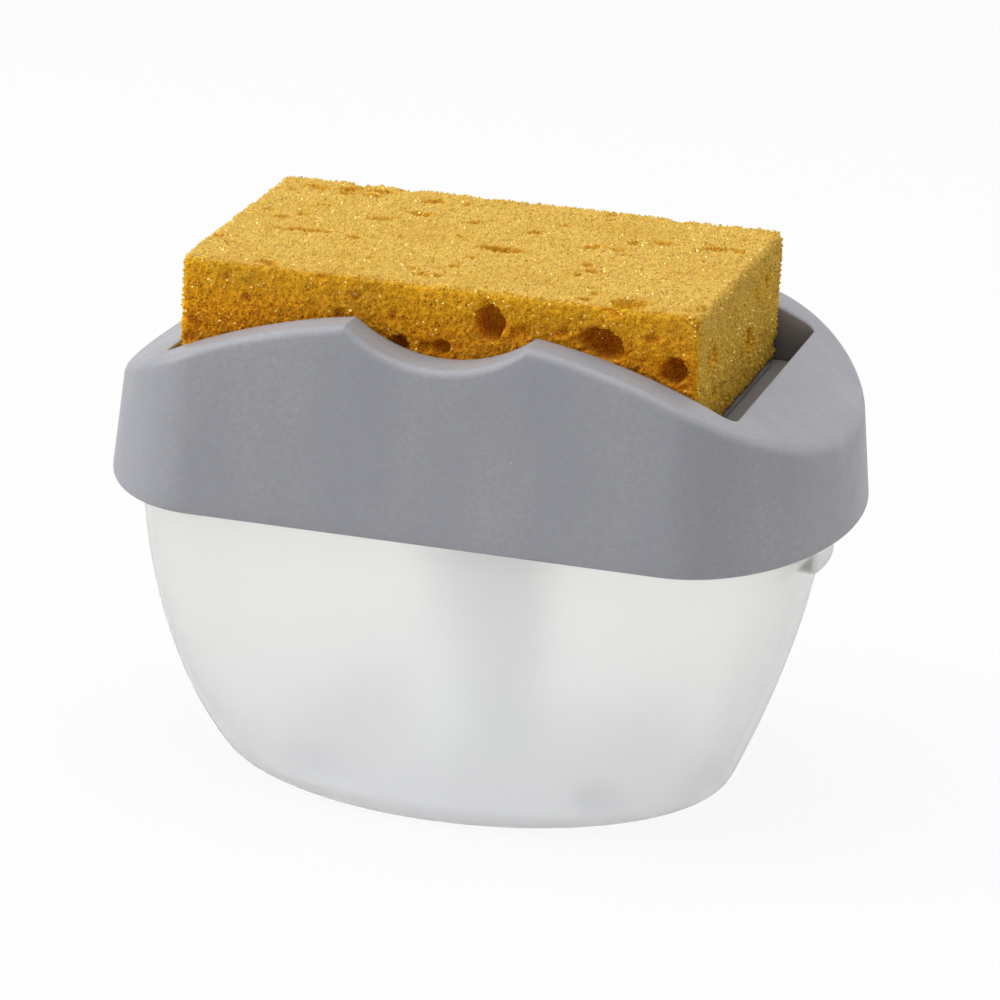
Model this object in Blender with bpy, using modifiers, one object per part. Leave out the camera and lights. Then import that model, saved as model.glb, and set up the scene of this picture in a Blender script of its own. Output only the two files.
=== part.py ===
"""Press-down soap dispenser with a sponge holder, modelled in metres with +Z up.

The sponge stands on a sprung plate in the well of a grey holder. Pressing it drives a piston pump
that hangs in a frosted reservoir and lifts soap through the hollow stem to a slit valve in the plate.
The holder and its pump lift off the reservoir for refilling.
"""
import math

import bmesh
import bpy
from mathutils import Matrix, Vector

# Fits
SEAT_GAP = 0.0003
RUNNING_GAP = 0.0003

# Holder: straight sides, elliptic ends and an arched top
HOLDER_LENGTH = 0.1700
HOLDER_DEPTH = 0.1090
HOLDER_STRAIGHT = 0.1060
HOLDER_HEIGHT = 0.0464
HOLDER_OVERLAP = 0.0052
ARCH_RADIUS = 0.1466
END_DRAFT = 0.106
SIDE_DRAFT = 0.120
HOLDER_WALL = 0.0025
TOP_THICKNESS = 0.0026
TOP_ROUNDING = 0.0020
RIM_ROUNDING = 0.0006

# Sponge well, with the lands that the holder keeps at its ends and along its sides
END_LAND = 0.02075
SIDE_LAND = 0.01515
WELL_LENGTH = HOLDER_LENGTH - 2 * END_LAND
WELL_DEPTH = HOLDER_DEPTH - 2 * SIDE_LAND
WELL_FILLET = 0.0030
WELL_WALL = 0.0024
WELL_EDGE = 0.0008
DECK_FILLET = 0.0015
DECK_THICKNESS = 0.0025

# Finger notches in the front and back of the holder
NOTCH_WIDTH = 0.0406
NOTCH_DEPTH = 0.0070

# Reservoir: an ellipse at the base that swells into a squarer mouth inside the holder's rim
FOOT_PROUD = 0.0005
RESERVOIR_HEIGHT = 0.0725
BASE_LENGTH = 0.1168
BASE_DEPTH = 0.0936
BASE_SQUARENESS = 2.0
MOUTH_SQUARENESS = 4.5
MOUTH_END_INSET = 0.0109
MOUTH_SIDE_INSET = 0.0048
RESERVOIR_WALL = 0.0024
RESERVOIR_FLOOR = 0.0026
BASE_ROUNDING = 0.0030

# Tabs on the reservoir's ends, half hidden by the holder, with outer faces that bow by the sag
TAB_PROUD = 0.0045
TAB_WIDTH = 0.0180
TAB_SAG = 0.0006
TAB_DROP = 0.0030
TAB_HEIGHT = 0.0130
TAB_CORNER = 0.0012
TAB_EDGE = 0.0008

# Feet
FOOT_RADIUS = 0.0060
FOOT_RECESS = 0.0012
FOOT_SPREAD_X = 0.0680
FOOT_SPREAD_Y = 0.0420

# Ribs under the holder that seat on the reservoir's rim, with teeth that centre it
RIB_THICKNESS = 0.0018
RIB_SIDE_SPREAD = 0.0800
RIB_END_SPREAD = 0.0440
RIB_TOOTH_DEPTH = 0.0035
RIB_TOOTH_GAP = 0.0006

# Spigot and nut that hold the pump under the deck
SPIGOT_RADIUS = 0.0200
SPIGOT_WALL = 0.0027
NUT_WALL = 0.0025
NUT_HEIGHT = 0.0086
NUT_LIP = 0.0022
NUT_RIBS = 12
NUT_RIB_PROUD = 0.0010
NUT_RIB_WIDTH = 0.0024

# Pump cylinder and its inlet valve
CYLINDER_RADIUS = 0.0135
CYLINDER_WALL = 0.0025
CYLINDER_FLANGE = 0.0025
CYLINDER_FOOT_GAP = 0.0006
INLET_SLOT_HEIGHT = 0.0040
INLET_SLOT_WIDTH = 0.0060
VALVE_FLOOR_RISE = 0.0064
VALVE_FLOOR_THICKNESS = 0.0034
INLET_RADIUS = 0.0018
SEAT_CONE_RADIUS = 0.0042
BALL_RADIUS = 0.0030
BALL_TRAVEL = 0.0012
CAGE_WALL = 0.0015
CAGE_DISC = 0.0016
CAGE_HOLE_RADIUS = 0.0016
CAGE_HOLE_CIRCLE = 0.0060

# Stem and piston
STEM_RADIUS = 0.0045
STEM_WALL = 0.0025
PISTON_HEIGHT = 0.0100
PISTON_RIM = 0.0020
PISTON_HUB_WALL = 0.0022
PISTON_HUB_HEIGHT = 0.0060
PISTON_SOCKET_DEPTH = 0.0110
SEAL_DEPTH = 0.0030
SEAL_WAIST = 0.0006

# Stem guide, gasket and wiper
GUIDE_FLANGE = 0.0028
GUIDE_LENGTH = 0.0119
GASKET_THICKNESS = 0.0012
WIPER_WALL = 0.0022
WIPER_THICKNESS = 0.0014
WIPER_POCKET = 0.0020

# Return spring
SPRING_RADIUS = 0.0085
SPRING_WIRE_RADIUS = 0.00055
SPRING_END_GAP = 0.0006
SPRING_TURNS = 6.5
SPRING_END_TURNS = 0.75

# Press plate
PRESS_TRAVEL = 0.0100
PLATE_GAP = 0.0009
PLATE_CORNER = 0.0050
PLATE_THICKNESS = 0.0020
PLATE_RIB_HEIGHT = 0.0010
PLATE_RIB_WIDTH = 0.0016
PLATE_RIB_COUNT = 12
PLATE_RIB_END_INSET = 0.0083
PLATE_RIB_SIDE_INSET = 0.0060
DRAIN_LENGTH = 0.0120
DRAIN_WIDTH = 0.0024
DRAIN_SPREAD = 0.0440
BOSS_WALL = 0.0027
BOSS_DEPTH = 0.0055
BOSS_CLEARANCE = 0.0017
STEM_SOCKET_DEPTH = 0.0045
PIN_RADIUS = 0.0022
PIN_LENGTH = 0.0170
PIN_END_INSET = 0.0142
PIN_SIDE_INSET = 0.0114
GUIDE_TUBE_WALL = 0.0017
GUIDE_TUBE_DEPTH = 0.0073

# Outlet valve
VALVE_RADIUS = 0.0065
VALVE_FLANGE = 0.0009
VALVE_DOME_RADIUS = 0.0036
VALVE_DOME_RISE = 0.0014
VALVE_SKIN = 0.0008
VALVE_SLIT_LENGTH = 0.0040
VALVE_SLIT_WIDTH = 0.0004
VALVE_WEB = 0.0010
VALVE_HUB_WALL = 0.0027
RETAINER_BORE_GAP = 0.0006
RETAINER_THICKNESS = 0.0012

# Sponge, pushed to the left end of the well
SPONGE_HEIGHT = 0.0293
SPONGE_LEFT_GAP = 0.0023
SPONGE_RIGHT_GAP = 0.0086
SPONGE_SIDE_GAP = 0.0011
SPONGE_SKEW = 0.0026
SPONGE_ROUNDING = 0.0022

# Heights that follow from the stack; the inlet ball rests in a cone of 45 degrees
RESERVOIR_BOTTOM_Z = FOOT_PROUD
RESERVOIR_RIM_Z = RESERVOIR_BOTTOM_Z + RESERVOIR_HEIGHT
FLOOR_TOP_Z = RESERVOIR_BOTTOM_Z + RESERVOIR_FLOOR
HOLDER_RIM_Z = RESERVOIR_RIM_Z - HOLDER_OVERLAP
CROWN_Z = HOLDER_RIM_Z + HOLDER_HEIGHT
DECK_BOTTOM_Z = RESERVOIR_RIM_Z + SEAT_GAP
DECK_TOP_Z = DECK_BOTTOM_Z + DECK_THICKNESS
GUIDE_TOP_Z = DECK_BOTTOM_Z - SEAT_GAP
GUIDE_FLANGE_Z = GUIDE_TOP_Z - GUIDE_FLANGE
GASKET_TOP_Z = GUIDE_FLANGE_Z - SEAT_GAP
GASKET_BOTTOM_Z = GASKET_TOP_Z - GASKET_THICKNESS
FLANGE_TOP_Z = GASKET_BOTTOM_Z - SEAT_GAP
FLANGE_BOTTOM_Z = FLANGE_TOP_Z - CYLINDER_FLANGE
NUT_LIP_TOP_Z = FLANGE_BOTTOM_Z - SEAT_GAP
NUT_BOTTOM_Z = NUT_LIP_TOP_Z - NUT_LIP
CYLINDER_FOOT_Z = FLOOR_TOP_Z + CYLINDER_FOOT_GAP
VALVE_FLOOR_Z = CYLINDER_FOOT_Z + VALVE_FLOOR_RISE
VALVE_FLOOR_TOP_Z = VALVE_FLOOR_Z + VALVE_FLOOR_THICKNESS
CONE_LOW_Z = VALVE_FLOOR_TOP_Z - (SEAT_CONE_RADIUS - INLET_RADIUS)
BALL_Z = CONE_LOW_Z - INLET_RADIUS + math.sqrt(2) * (BALL_RADIUS + SEAT_GAP)
CAGE_DISC_Z = BALL_Z + BALL_RADIUS + BALL_TRAVEL + SEAT_GAP
CAGE_TOP_Z = CAGE_DISC_Z + CAGE_DISC
HUB_TOP_Z = GUIDE_FLANGE_Z - GUIDE_LENGTH - SEAT_GAP
PISTON_TOP_Z = HUB_TOP_Z - PISTON_HUB_HEIGHT
PISTON_BOTTOM_Z = PISTON_TOP_Z - PISTON_HEIGHT
SOCKET_FLOOR_Z = HUB_TOP_Z - PISTON_SOCKET_DEPTH
BOSS_BOTTOM_Z = GUIDE_TOP_Z + SEAT_GAP + PRESS_TRAVEL
PLATE_BOTTOM_Z = BOSS_BOTTOM_Z + BOSS_DEPTH
PLATE_TOP_Z = PLATE_BOTTOM_Z + PLATE_THICKNESS
RIB_TOP_Z = PLATE_TOP_Z + PLATE_RIB_HEIGHT
SOCKET_TOP_Z = BOSS_BOTTOM_Z + STEM_SOCKET_DEPTH
VALVE_SEAT_Z = SOCKET_TOP_Z + VALVE_WEB
VALVE_FLANGE_TOP_Z = VALVE_SEAT_Z + SEAT_GAP + VALVE_FLANGE
SPONGE_BOTTOM_Z = RIB_TOP_Z + SEAT_GAP

# Plan sizes that follow from their neighbours
MOUTH_LENGTH = HOLDER_LENGTH - 2 * MOUTH_END_INSET
MOUTH_DEPTH = HOLDER_DEPTH - 2 * MOUTH_SIDE_INSET
FLANGE_RADIUS = SPIGOT_RADIUS - SPIGOT_WALL - SEAT_GAP
BORE_RADIUS = CYLINDER_RADIUS - CYLINDER_WALL
STEM_BORE_RADIUS = STEM_RADIUS - STEM_WALL
STEM_SOCKET_RADIUS = STEM_RADIUS + SEAT_GAP
BOSS_RADIUS = STEM_SOCKET_RADIUS + BOSS_WALL
DECK_HOLE_RADIUS = BOSS_RADIUS + BOSS_CLEARANCE
PLATE_HALF_X = WELL_LENGTH / 2 - PLATE_GAP
PLATE_HALF_Y = WELL_DEPTH / 2 - PLATE_GAP
PIN_BORE_RADIUS = PIN_RADIUS + RUNNING_GAP
PIN_PLACES = [(sx * (WELL_LENGTH / 2 - PIN_END_INSET), sy * (WELL_DEPTH / 2 - PIN_SIDE_INSET))
              for sx in (-1, 1) for sy in (-1, 1)]

# Resolution of the curved forms
NOTCH_STEPS = 5
SIDE_STEPS = 3
CORNER_STEPS = 12
WELL_FILLET_STEPS = 4
ROUNDING_STEPS = 3
RESERVOIR_STEPS = 64
HULL_LEVELS = 6
TAB_BOW_STEPS = 3
TURNED_STEPS = 24
HOLE_STEPS = 16
CAGE_HOLE_STEPS = 12
EDGE_STEPS = 2
PLATE_CORNER_STEPS = 4
VALVE_DOME_STEPS = 4
BALL_SEGMENTS = 16
BALL_RINGS = 10
SPONGE_ROUNDING_STEPS = 3
SPRING_POINTS_PER_TURN = 12


def clear_scene():
    for old in list(bpy.data.objects):
        bpy.data.objects.remove(old, do_unlink=True)


def make_collection(name):
    collection = bpy.data.collections.new(name)
    bpy.context.scene.collection.children.link(collection)
    return collection


def make_material(name, color, roughness, metallic=0.0, alpha=1.0):
    material = bpy.data.materials.new(name)
    material.use_nodes = True
    shader = material.node_tree.nodes["Principled BSDF"]
    shader.inputs["Base Color"].default_value = (*color, 1.0)
    shader.inputs["Roughness"].default_value = roughness
    shader.inputs["Metallic"].default_value = metallic
    shader.inputs["Alpha"].default_value = alpha
    return material


def world_origin(obj):
    place = Vector((0.0, 0.0, 0.0))
    while obj is not None:
        place += obj.location
        obj = obj.parent
    return place


def make_axis(name, z, parent=None):
    """Empty on the dispenser's upright axis that carries the pieces moving along it."""
    empty = bpy.data.objects.new(name, None)
    PART.objects.link(empty)
    empty.location = Vector((0.0, 0.0, z)) - world_origin(parent)
    empty.parent = parent
    return empty


def add_object(name, mesh, material, parent=None, smooth_angle=40.0):
    """Links a mesh given in world coordinates, with its origin moved to its parent's."""
    obj = bpy.data.objects.new(name, mesh)
    PART.objects.link(obj)
    mesh.transform(Matrix.Translation(-world_origin(parent)))
    obj.parent = parent
    mesh.materials.clear()
    mesh.materials.append(material)
    mesh.shade_smooth()
    mesh.set_sharp_from_angle(angle=math.radians(smooth_angle))
    return obj


def add_boolean(obj, name, mesh, operation):
    tool = bpy.data.objects.new(name, mesh)
    CUTTERS.objects.link(tool)
    tool.hide_render = True
    tool.display_type = "WIRE"
    modifier = obj.modifiers.new(name, "BOOLEAN")
    modifier.operation = operation
    modifier.solver = "EXACT"
    modifier.object = tool


def cut(obj, name, mesh):
    add_boolean(obj, name, mesh, "DIFFERENCE")


def join(obj, name, mesh):
    add_boolean(obj, name, mesh, "UNION")


def finish_mesh(bm, name):
    bmesh.ops.recalc_face_normals(bm, faces=bm.faces)
    mesh = bpy.data.meshes.new(name)
    bm.to_mesh(mesh)
    bm.free()
    return mesh


def add_box(bm, low, high):
    size = [high[k] - low[k] for k in range(3)]
    centre = [(high[k] + low[k]) / 2 for k in range(3)]
    matrix = Matrix.Translation(centre) @ Matrix.Diagonal((*size, 1.0))
    return bmesh.ops.create_cube(bm, size=1.0, matrix=matrix)["verts"]


def cylinders(name, places, low_z, high_z, radius, steps=HOLE_STEPS):
    """One mesh of upright cylinders at the given places."""
    bm = bmesh.new()
    for x, y in places:
        matrix = Matrix.Translation((x, y, (low_z + high_z) / 2))
        bmesh.ops.create_cone(bm, cap_ends=True, segments=steps, radius1=radius, radius2=radius,
                              depth=high_z - low_z, matrix=matrix)
    return finish_mesh(bm, name)


def add_rings(bm, rings, closed=False):
    """Skins rings of equally many points, closed on themselves or capped at both ends."""
    rows = [[bm.verts.new(point) for point in ring] for ring in rings]
    pairs = list(zip(rows, rows[1:]))
    if closed:
        pairs.append((rows[-1], rows[0]))
    else:
        bm.faces.new(rows[0])
        bm.faces.new(rows[-1])
    for lower, upper in pairs:
        for k in range(len(lower)):
            n = (k + 1) % len(lower)
            bm.faces.new((lower[k], lower[n], upper[n], upper[k]))


def turned(name, profile, material, parent, closed=True):
    """Turns a profile of (radius, height) points, which starts down its outer side, about the Z axis."""
    outline = bpy.data.meshes.new(name + "_profile")
    count = len(profile)
    edges = [(k, (k + 1) % count) for k in range(count if closed else count - 1)]
    outline.from_pydata([(radius, 0.0, z) for radius, z in profile], edges, [])
    blank = bpy.data.objects.new(name + "_profile", outline)
    PART.objects.link(blank)
    screw = blank.modifiers.new("turn", "SCREW")
    screw.steps = TURNED_STEPS
    screw.render_steps = TURNED_STEPS
    screw.use_merge_vertices = True
    screw.merge_threshold = 0.00001
    depsgraph = bpy.context.evaluated_depsgraph_get()
    mesh = bpy.data.meshes.new_from_object(blank.evaluated_get(depsgraph))
    mesh.name = name
    bpy.data.objects.remove(blank)
    return add_object(name, mesh, material, parent)


def turned_ring(name, outer, inner, low, high, material, parent):
    return turned(name, [(outer, high), (outer, low), (inner, low), (inner, high)], material, parent)


def arc_shares(steps):
    """Pairs of (1 - cos, 1 - sin) that step through a quarter turn."""
    turns = [math.pi / 2 * k / steps for k in range(steps + 1)]
    return [(1 - math.cos(t), 1 - math.sin(t)) for t in turns]


def full_ring(quarter):
    """Mirrors a quarter, which runs from the front middle to the right end, into a closed ring."""
    right = quarter + [(x, -y) for x, y in reversed(quarter[:-1])]
    return right + [(-x, y) for x, y in reversed(right[1:-1])]


def lifted(quarter, z_of):
    return [(x, y, z_of(x)) for x, y in full_ring(quarter)]


def circle(radius, z, count):
    turns = [2 * math.pi * k / count - math.pi / 2 for k in range(count)]
    return [(radius * math.cos(t), radius * math.sin(t), z) for t in turns]


def level(z):
    return lambda x: z


def arch_z(x):
    return CROWN_Z - ARCH_RADIUS + math.sqrt(ARCH_RADIUS ** 2 - x ** 2)


def top_z(x):
    """Height of the holder's top: one arch along its length, with a round notch in the middle."""
    half = NOTCH_WIDTH / 2
    if abs(x) >= half:
        return arch_z(x)
    radius = (half ** 2 + NOTCH_DEPTH ** 2) / (2 * NOTCH_DEPTH)
    return arch_z(half) - NOTCH_DEPTH + radius - math.sqrt(radius ** 2 - x ** 2)


def below_top(drop):
    return lambda x: top_z(x) - drop


def notch_stations():
    return [NOTCH_WIDTH / 2 * math.sin(math.pi / 2 * k / NOTCH_STEPS) for k in range(NOTCH_STEPS)]


def spaced(start, end, steps):
    return [start + (end - start) * k / steps for k in range(steps + 1)]


def holder_half_sizes(z, inset):
    rise = z - HOLDER_RIM_Z
    return HOLDER_LENGTH / 2 - END_DRAFT * rise - inset, HOLDER_DEPTH / 2 - SIDE_DRAFT * rise - inset


def holder_quarter(inset, z_of):
    """Outer plan of the holder at the heights z_of(x), narrowed upward by the draft."""
    straight = HOLDER_STRAIGHT / 2
    stations = notch_stations() + spaced(NOTCH_WIDTH / 2, straight, SIDE_STEPS)
    points = [(x, -holder_half_sizes(z_of(x), inset)[1]) for x in stations]
    for k in range(1, CORNER_STEPS + 1):
        turn = math.pi / 2 * (1 - k / CORNER_STEPS)
        x = straight
        for _ in range(4):
            half_x, half_y = holder_half_sizes(z_of(x), inset)
            x = straight + (half_x - straight) * math.cos(turn)
        points.append((x, -half_y * math.sin(turn)))
    return points


def well_quarter(offset):
    """Plan of the well, a rectangle with filleted corners, grown outward by the offset."""
    half_x = WELL_LENGTH / 2 + offset
    half_y = WELL_DEPTH / 2 + offset
    fillet = WELL_FILLET + offset
    side_steps = CORNER_STEPS // 2
    front_steps = SIDE_STEPS + CORNER_STEPS - side_steps - WELL_FILLET_STEPS
    stations = notch_stations() + spaced(NOTCH_WIDTH / 2, half_x - fillet, front_steps)
    points = [(x, -half_y) for x in stations]
    for short, run in arc_shares(WELL_FILLET_STEPS)[1:]:
        points.append((half_x - fillet * run, -half_y + fillet * short))
    points += [(half_x, y) for y in spaced(-half_y + fillet, 0.0, side_steps)[1:]]
    return points


def holder_rings():
    """All rings of the holder's moulding: up its outside, over the top, into the well and back below."""
    rim = level(HOLDER_RIM_Z)
    above_rim = level(HOLDER_RIM_Z + RIM_ROUNDING)
    rings = [lifted(holder_quarter(RIM_ROUNDING, rim), rim),
             lifted(holder_quarter(0.0, above_rim), above_rim)]
    for inward, drop in arc_shares(ROUNDING_STEPS):
        z_of = below_top(TOP_ROUNDING * drop)
        rings.append(lifted(holder_quarter(TOP_ROUNDING * inward, z_of), z_of))
    outer = full_ring(holder_quarter(TOP_ROUNDING, top_z))
    inner = full_ring(well_quarter(WELL_EDGE))
    middle = [((a[0] + b[0]) / 2, (a[1] + b[1]) / 2) for a, b in zip(outer, inner)]
    rings.append([(x, y, top_z(x)) for x, y in middle])
    for drop, outward in arc_shares(EDGE_STEPS):
        rings.append(lifted(well_quarter(WELL_EDGE * outward), below_top(WELL_EDGE * drop)))
    for inward, rise in arc_shares(EDGE_STEPS):
        rings.append(lifted(well_quarter(-DECK_FILLET * inward), level(DECK_TOP_Z + DECK_FILLET * rise)))
    count = len(outer)
    spigot_bore = SPIGOT_RADIUS - SPIGOT_WALL
    for radius, z in ((DECK_HOLE_RADIUS, DECK_TOP_Z), (DECK_HOLE_RADIUS, DECK_BOTTOM_Z),
                      (spigot_bore, DECK_BOTTOM_Z), (spigot_bore, FLANGE_BOTTOM_Z),
                      (SPIGOT_RADIUS, FLANGE_BOTTOM_Z), (SPIGOT_RADIUS, DECK_BOTTOM_Z)):
        rings.append(circle(radius, z, count))
    rings.append(lifted(well_quarter(WELL_WALL), level(DECK_BOTTOM_Z)))
    under_top = below_top(TOP_THICKNESS)
    rings.append(lifted(well_quarter(WELL_WALL), under_top))
    rings.append(lifted(holder_quarter(HOLDER_WALL, under_top), under_top))
    rings.append(lifted(holder_quarter(HOLDER_WALL, rim), rim))
    return rings


def mid_wall_x(y, z):
    """Where the middle of the holder's end wall lies at the given distance from its long axis."""
    half_x, half_y = holder_half_sizes(z, HOLDER_WALL / 2)
    straight = HOLDER_STRAIGHT / 2
    return straight + (half_x - straight) * math.sqrt(1 - (y / half_y) ** 2)


def mid_wall_y(z):
    return holder_half_sizes(z, HOLDER_WALL / 2)[1]


def rib_outline(inner, inner_top, outer_top, outer, tooth):
    """Side view of a seat rib as (reach, height) points, with its tooth inside the reservoir's mouth."""
    return [(inner, inner_top), (outer(outer_top), outer_top), (outer(DECK_BOTTOM_Z), DECK_BOTTOM_Z),
            (tooth, DECK_BOTTOM_Z), (tooth, DECK_BOTTOM_Z - RIB_TOOTH_DEPTH),
            (inner, DECK_BOTTOM_Z - RIB_TOOTH_DEPTH)]


def seat_ribs():
    """Ribs between the skirt and the well: two to each long side and two to each end."""
    half = RIB_THICKNESS / 2
    into_top = TOP_THICKNESS / 2
    into_wall = WELL_WALL / 2
    mouth_x, mouth_y, power = reservoir_plan(DECK_BOTTOM_Z - RIB_TOOTH_DEPTH, RESERVOIR_WALL)
    bm = bmesh.new()
    side_x = RIB_SIDE_SPREAD / 2
    side_top = arch_z(side_x + half) - into_top
    side_tooth = mouth_y * (1 - ((side_x + half) / mouth_x) ** power) ** (1 / power) - RIB_TOOTH_GAP
    side = rib_outline(WELL_DEPTH / 2 + into_wall, side_top, side_top, mid_wall_y, side_tooth)
    end_y = RIB_END_SPREAD / 2
    inner_x = WELL_LENGTH / 2 + into_wall
    outer_top = arch_z(mid_wall_x(end_y, arch_z(inner_x))) - into_top
    end_tooth = mouth_x * (1 - ((end_y + half) / mouth_y) ** power) ** (1 / power) - RIB_TOOTH_GAP
    end = rib_outline(inner_x, arch_z(inner_x) - into_top, outer_top, lambda z: mid_wall_x(end_y, z),
                      end_tooth)
    for sx in (-1, 1):
        for sy in (-1, 1):
            add_rings(bm, [[(sx * side_x + t, sy * reach, z) for reach, z in side] for t in (-half, half)])
            add_rings(bm, [[(sx * reach, sy * end_y + t, z) for reach, z in end] for t in (-half, half)])
    return finish_mesh(bm, "seat_ribs")


def build_holder(material, parent):
    bm = bmesh.new()
    add_rings(bm, holder_rings(), closed=True)
    holder = add_object("holder_collar", finish_mesh(bm, "holder_collar"), material, parent)
    join(holder, "seat_ribs", seat_ribs())
    tube_low = DECK_BOTTOM_Z - GUIDE_TUBE_DEPTH
    tube_high = DECK_BOTTOM_Z + DECK_THICKNESS / 2
    join(holder, "guide_tubes", cylinders("guide_tubes", PIN_PLACES, tube_low, tube_high,
                                          PIN_BORE_RADIUS + GUIDE_TUBE_WALL))
    cut(holder, "guide_bores", cylinders("guide_bores", PIN_PLACES, tube_low - DECK_THICKNESS,
                                         DECK_TOP_Z + DECK_THICKNESS, PIN_BORE_RADIUS))


def reservoir_plan(z, inset):
    """Half length, half depth and squareness of the reservoir's plan, which follow a parabola."""
    share = 1 - (1 - (z - RESERVOIR_BOTTOM_Z) / RESERVOIR_HEIGHT) ** 2
    half_x = (BASE_LENGTH + (MOUTH_LENGTH - BASE_LENGTH) * share) / 2 - inset
    half_y = (BASE_DEPTH + (MOUTH_DEPTH - BASE_DEPTH) * share) / 2 - inset
    return half_x, half_y, BASE_SQUARENESS + (MOUTH_SQUARENESS - BASE_SQUARENESS) * share


def reservoir_ring(z, inset):
    half_x, half_y, power = reservoir_plan(z, inset)
    ring = []
    for k in range(RESERVOIR_STEPS):
        turn = 2 * math.pi * k / RESERVOIR_STEPS
        c, s = math.cos(turn), math.sin(turn)
        x = half_x * math.copysign(abs(c) ** (2 / power), c)
        y = half_y * math.copysign(abs(s) ** (2 / power), s)
        ring.append((x, y, z))
    return ring


def reservoir_rings():
    """Rings up the outside from the rounded base, over the rim and down the inside to the floor."""
    low = RESERVOIR_BOTTOM_Z + BASE_ROUNDING
    inner_low = FLOOR_TOP_Z + BASE_ROUNDING
    rings = [reservoir_ring(RESERVOIR_BOTTOM_Z + BASE_ROUNDING * rise, BASE_ROUNDING * inward)
             for rise, inward in arc_shares(ROUNDING_STEPS)[:-1]]
    rings += [reservoir_ring(z, 0.0) for z in spaced(low, RESERVOIR_RIM_Z, HULL_LEVELS)]
    rings += [reservoir_ring(z, RESERVOIR_WALL) for z in spaced(RESERVOIR_RIM_Z, inner_low, HULL_LEVELS)]
    rings += [reservoir_ring(FLOOR_TOP_Z + BASE_ROUNDING * rise, RESERVOIR_WALL + BASE_ROUNDING * inward)
              for inward, rise in arc_shares(EDGE_STEPS)[1:]]
    return rings


def end_tabs():
    """Bowed plates with rounded corners that stand proud of the reservoir's two ends."""
    tab_top_z = RESERVOIR_RIM_Z - TAB_DROP
    bottom_z = tab_top_z - TAB_HEIGHT
    inner = reservoir_plan(bottom_z, RESERVOIR_WALL / 2)[0]
    outer = MOUTH_LENGTH / 2 + TAB_PROUD
    half = TAB_WIDTH / 2
    bm = bmesh.new()
    for side in (-1, 1):
        rings = []
        for z, inset in ((bottom_z, TAB_EDGE), (bottom_z + TAB_EDGE, 0.0), (tab_top_z, 0.0)):
            face = outer - inset
            edge = half - inset
            bow = edge - TAB_CORNER
            plan = [(inner, -edge)]
            plan += [(face - TAB_SAG - TAB_CORNER * run, -edge + TAB_CORNER * short)
                     for short, run in arc_shares(ROUNDING_STEPS)]
            plan += [(face - TAB_SAG * (y / bow) ** 2, y) for y in spaced(-bow, 0.0, TAB_BOW_STEPS)[1:]]
            plan += [(x, -y) for x, y in reversed(plan[:-1])]
            rings.append([(side * x, y, z) for x, y in plan])
        add_rings(bm, rings)
    return finish_mesh(bm, "end_tabs")


def foot_places():
    return {"foot_" + row + "_" + end: (sx * FOOT_SPREAD_X / 2, sy * FOOT_SPREAD_Y / 2)
            for row, sy in (("front", -1), ("back", 1)) for end, sx in (("left", -1), ("right", 1))}


def build_reservoir(material):
    bm = bmesh.new()
    add_rings(bm, reservoir_rings())
    reservoir = add_object("reservoir", finish_mesh(bm, "reservoir"), material)
    join(reservoir, "end_tabs", end_tabs())
    recesses = cylinders("foot_recesses", foot_places().values(), -FOOT_RECESS,
                         RESERVOIR_BOTTOM_Z + FOOT_RECESS, FOOT_RADIUS + SEAT_GAP, TURNED_STEPS)
    cut(reservoir, "foot_recesses", recesses)


def build_feet(material):
    top = RESERVOIR_BOTTOM_Z + FOOT_RECESS - SEAT_GAP
    for name, place in foot_places().items():
        add_object(name, cylinders(name, [place], 0.0, top, FOOT_RADIUS, TURNED_STEPS), material)


def build_cylinder(material, parent):
    """Pump cylinder with its flange, its valve floor and the slots that let soap in at the foot."""
    profile = [(FLANGE_RADIUS, FLANGE_TOP_Z), (FLANGE_RADIUS, FLANGE_BOTTOM_Z),
               (CYLINDER_RADIUS, FLANGE_BOTTOM_Z), (CYLINDER_RADIUS, CYLINDER_FOOT_Z),
               (BORE_RADIUS, CYLINDER_FOOT_Z), (BORE_RADIUS, VALVE_FLOOR_Z),
               (INLET_RADIUS, VALVE_FLOOR_Z), (INLET_RADIUS, CONE_LOW_Z),
               (SEAT_CONE_RADIUS, VALVE_FLOOR_TOP_Z), (BORE_RADIUS, VALVE_FLOOR_TOP_Z),
               (BORE_RADIUS, FLANGE_TOP_Z)]
    cylinder = turned("pump_cylinder", profile, material, parent)
    reach = CYLINDER_RADIUS + CYLINDER_WALL
    half = INLET_SLOT_WIDTH / 2
    for name, reach_x, reach_y in (("inlet_slot_x", reach, half), ("inlet_slot_y", half, reach)):
        bm = bmesh.new()
        add_box(bm, (-reach_x, -reach_y, CYLINDER_FOOT_Z - INLET_SLOT_HEIGHT),
                (reach_x, reach_y, CYLINDER_FOOT_Z + INLET_SLOT_HEIGHT))
        cut(cylinder, name, finish_mesh(bm, name))


def build_ball(material, parent):
    bm = bmesh.new()
    bmesh.ops.create_uvsphere(bm, u_segments=BALL_SEGMENTS, v_segments=BALL_RINGS, radius=BALL_RADIUS,
                              matrix=Matrix.Translation((0.0, 0.0, BALL_Z)))
    add_object("inlet_ball", finish_mesh(bm, "inlet_ball"), material, parent, smooth_angle=60.0)


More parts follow.
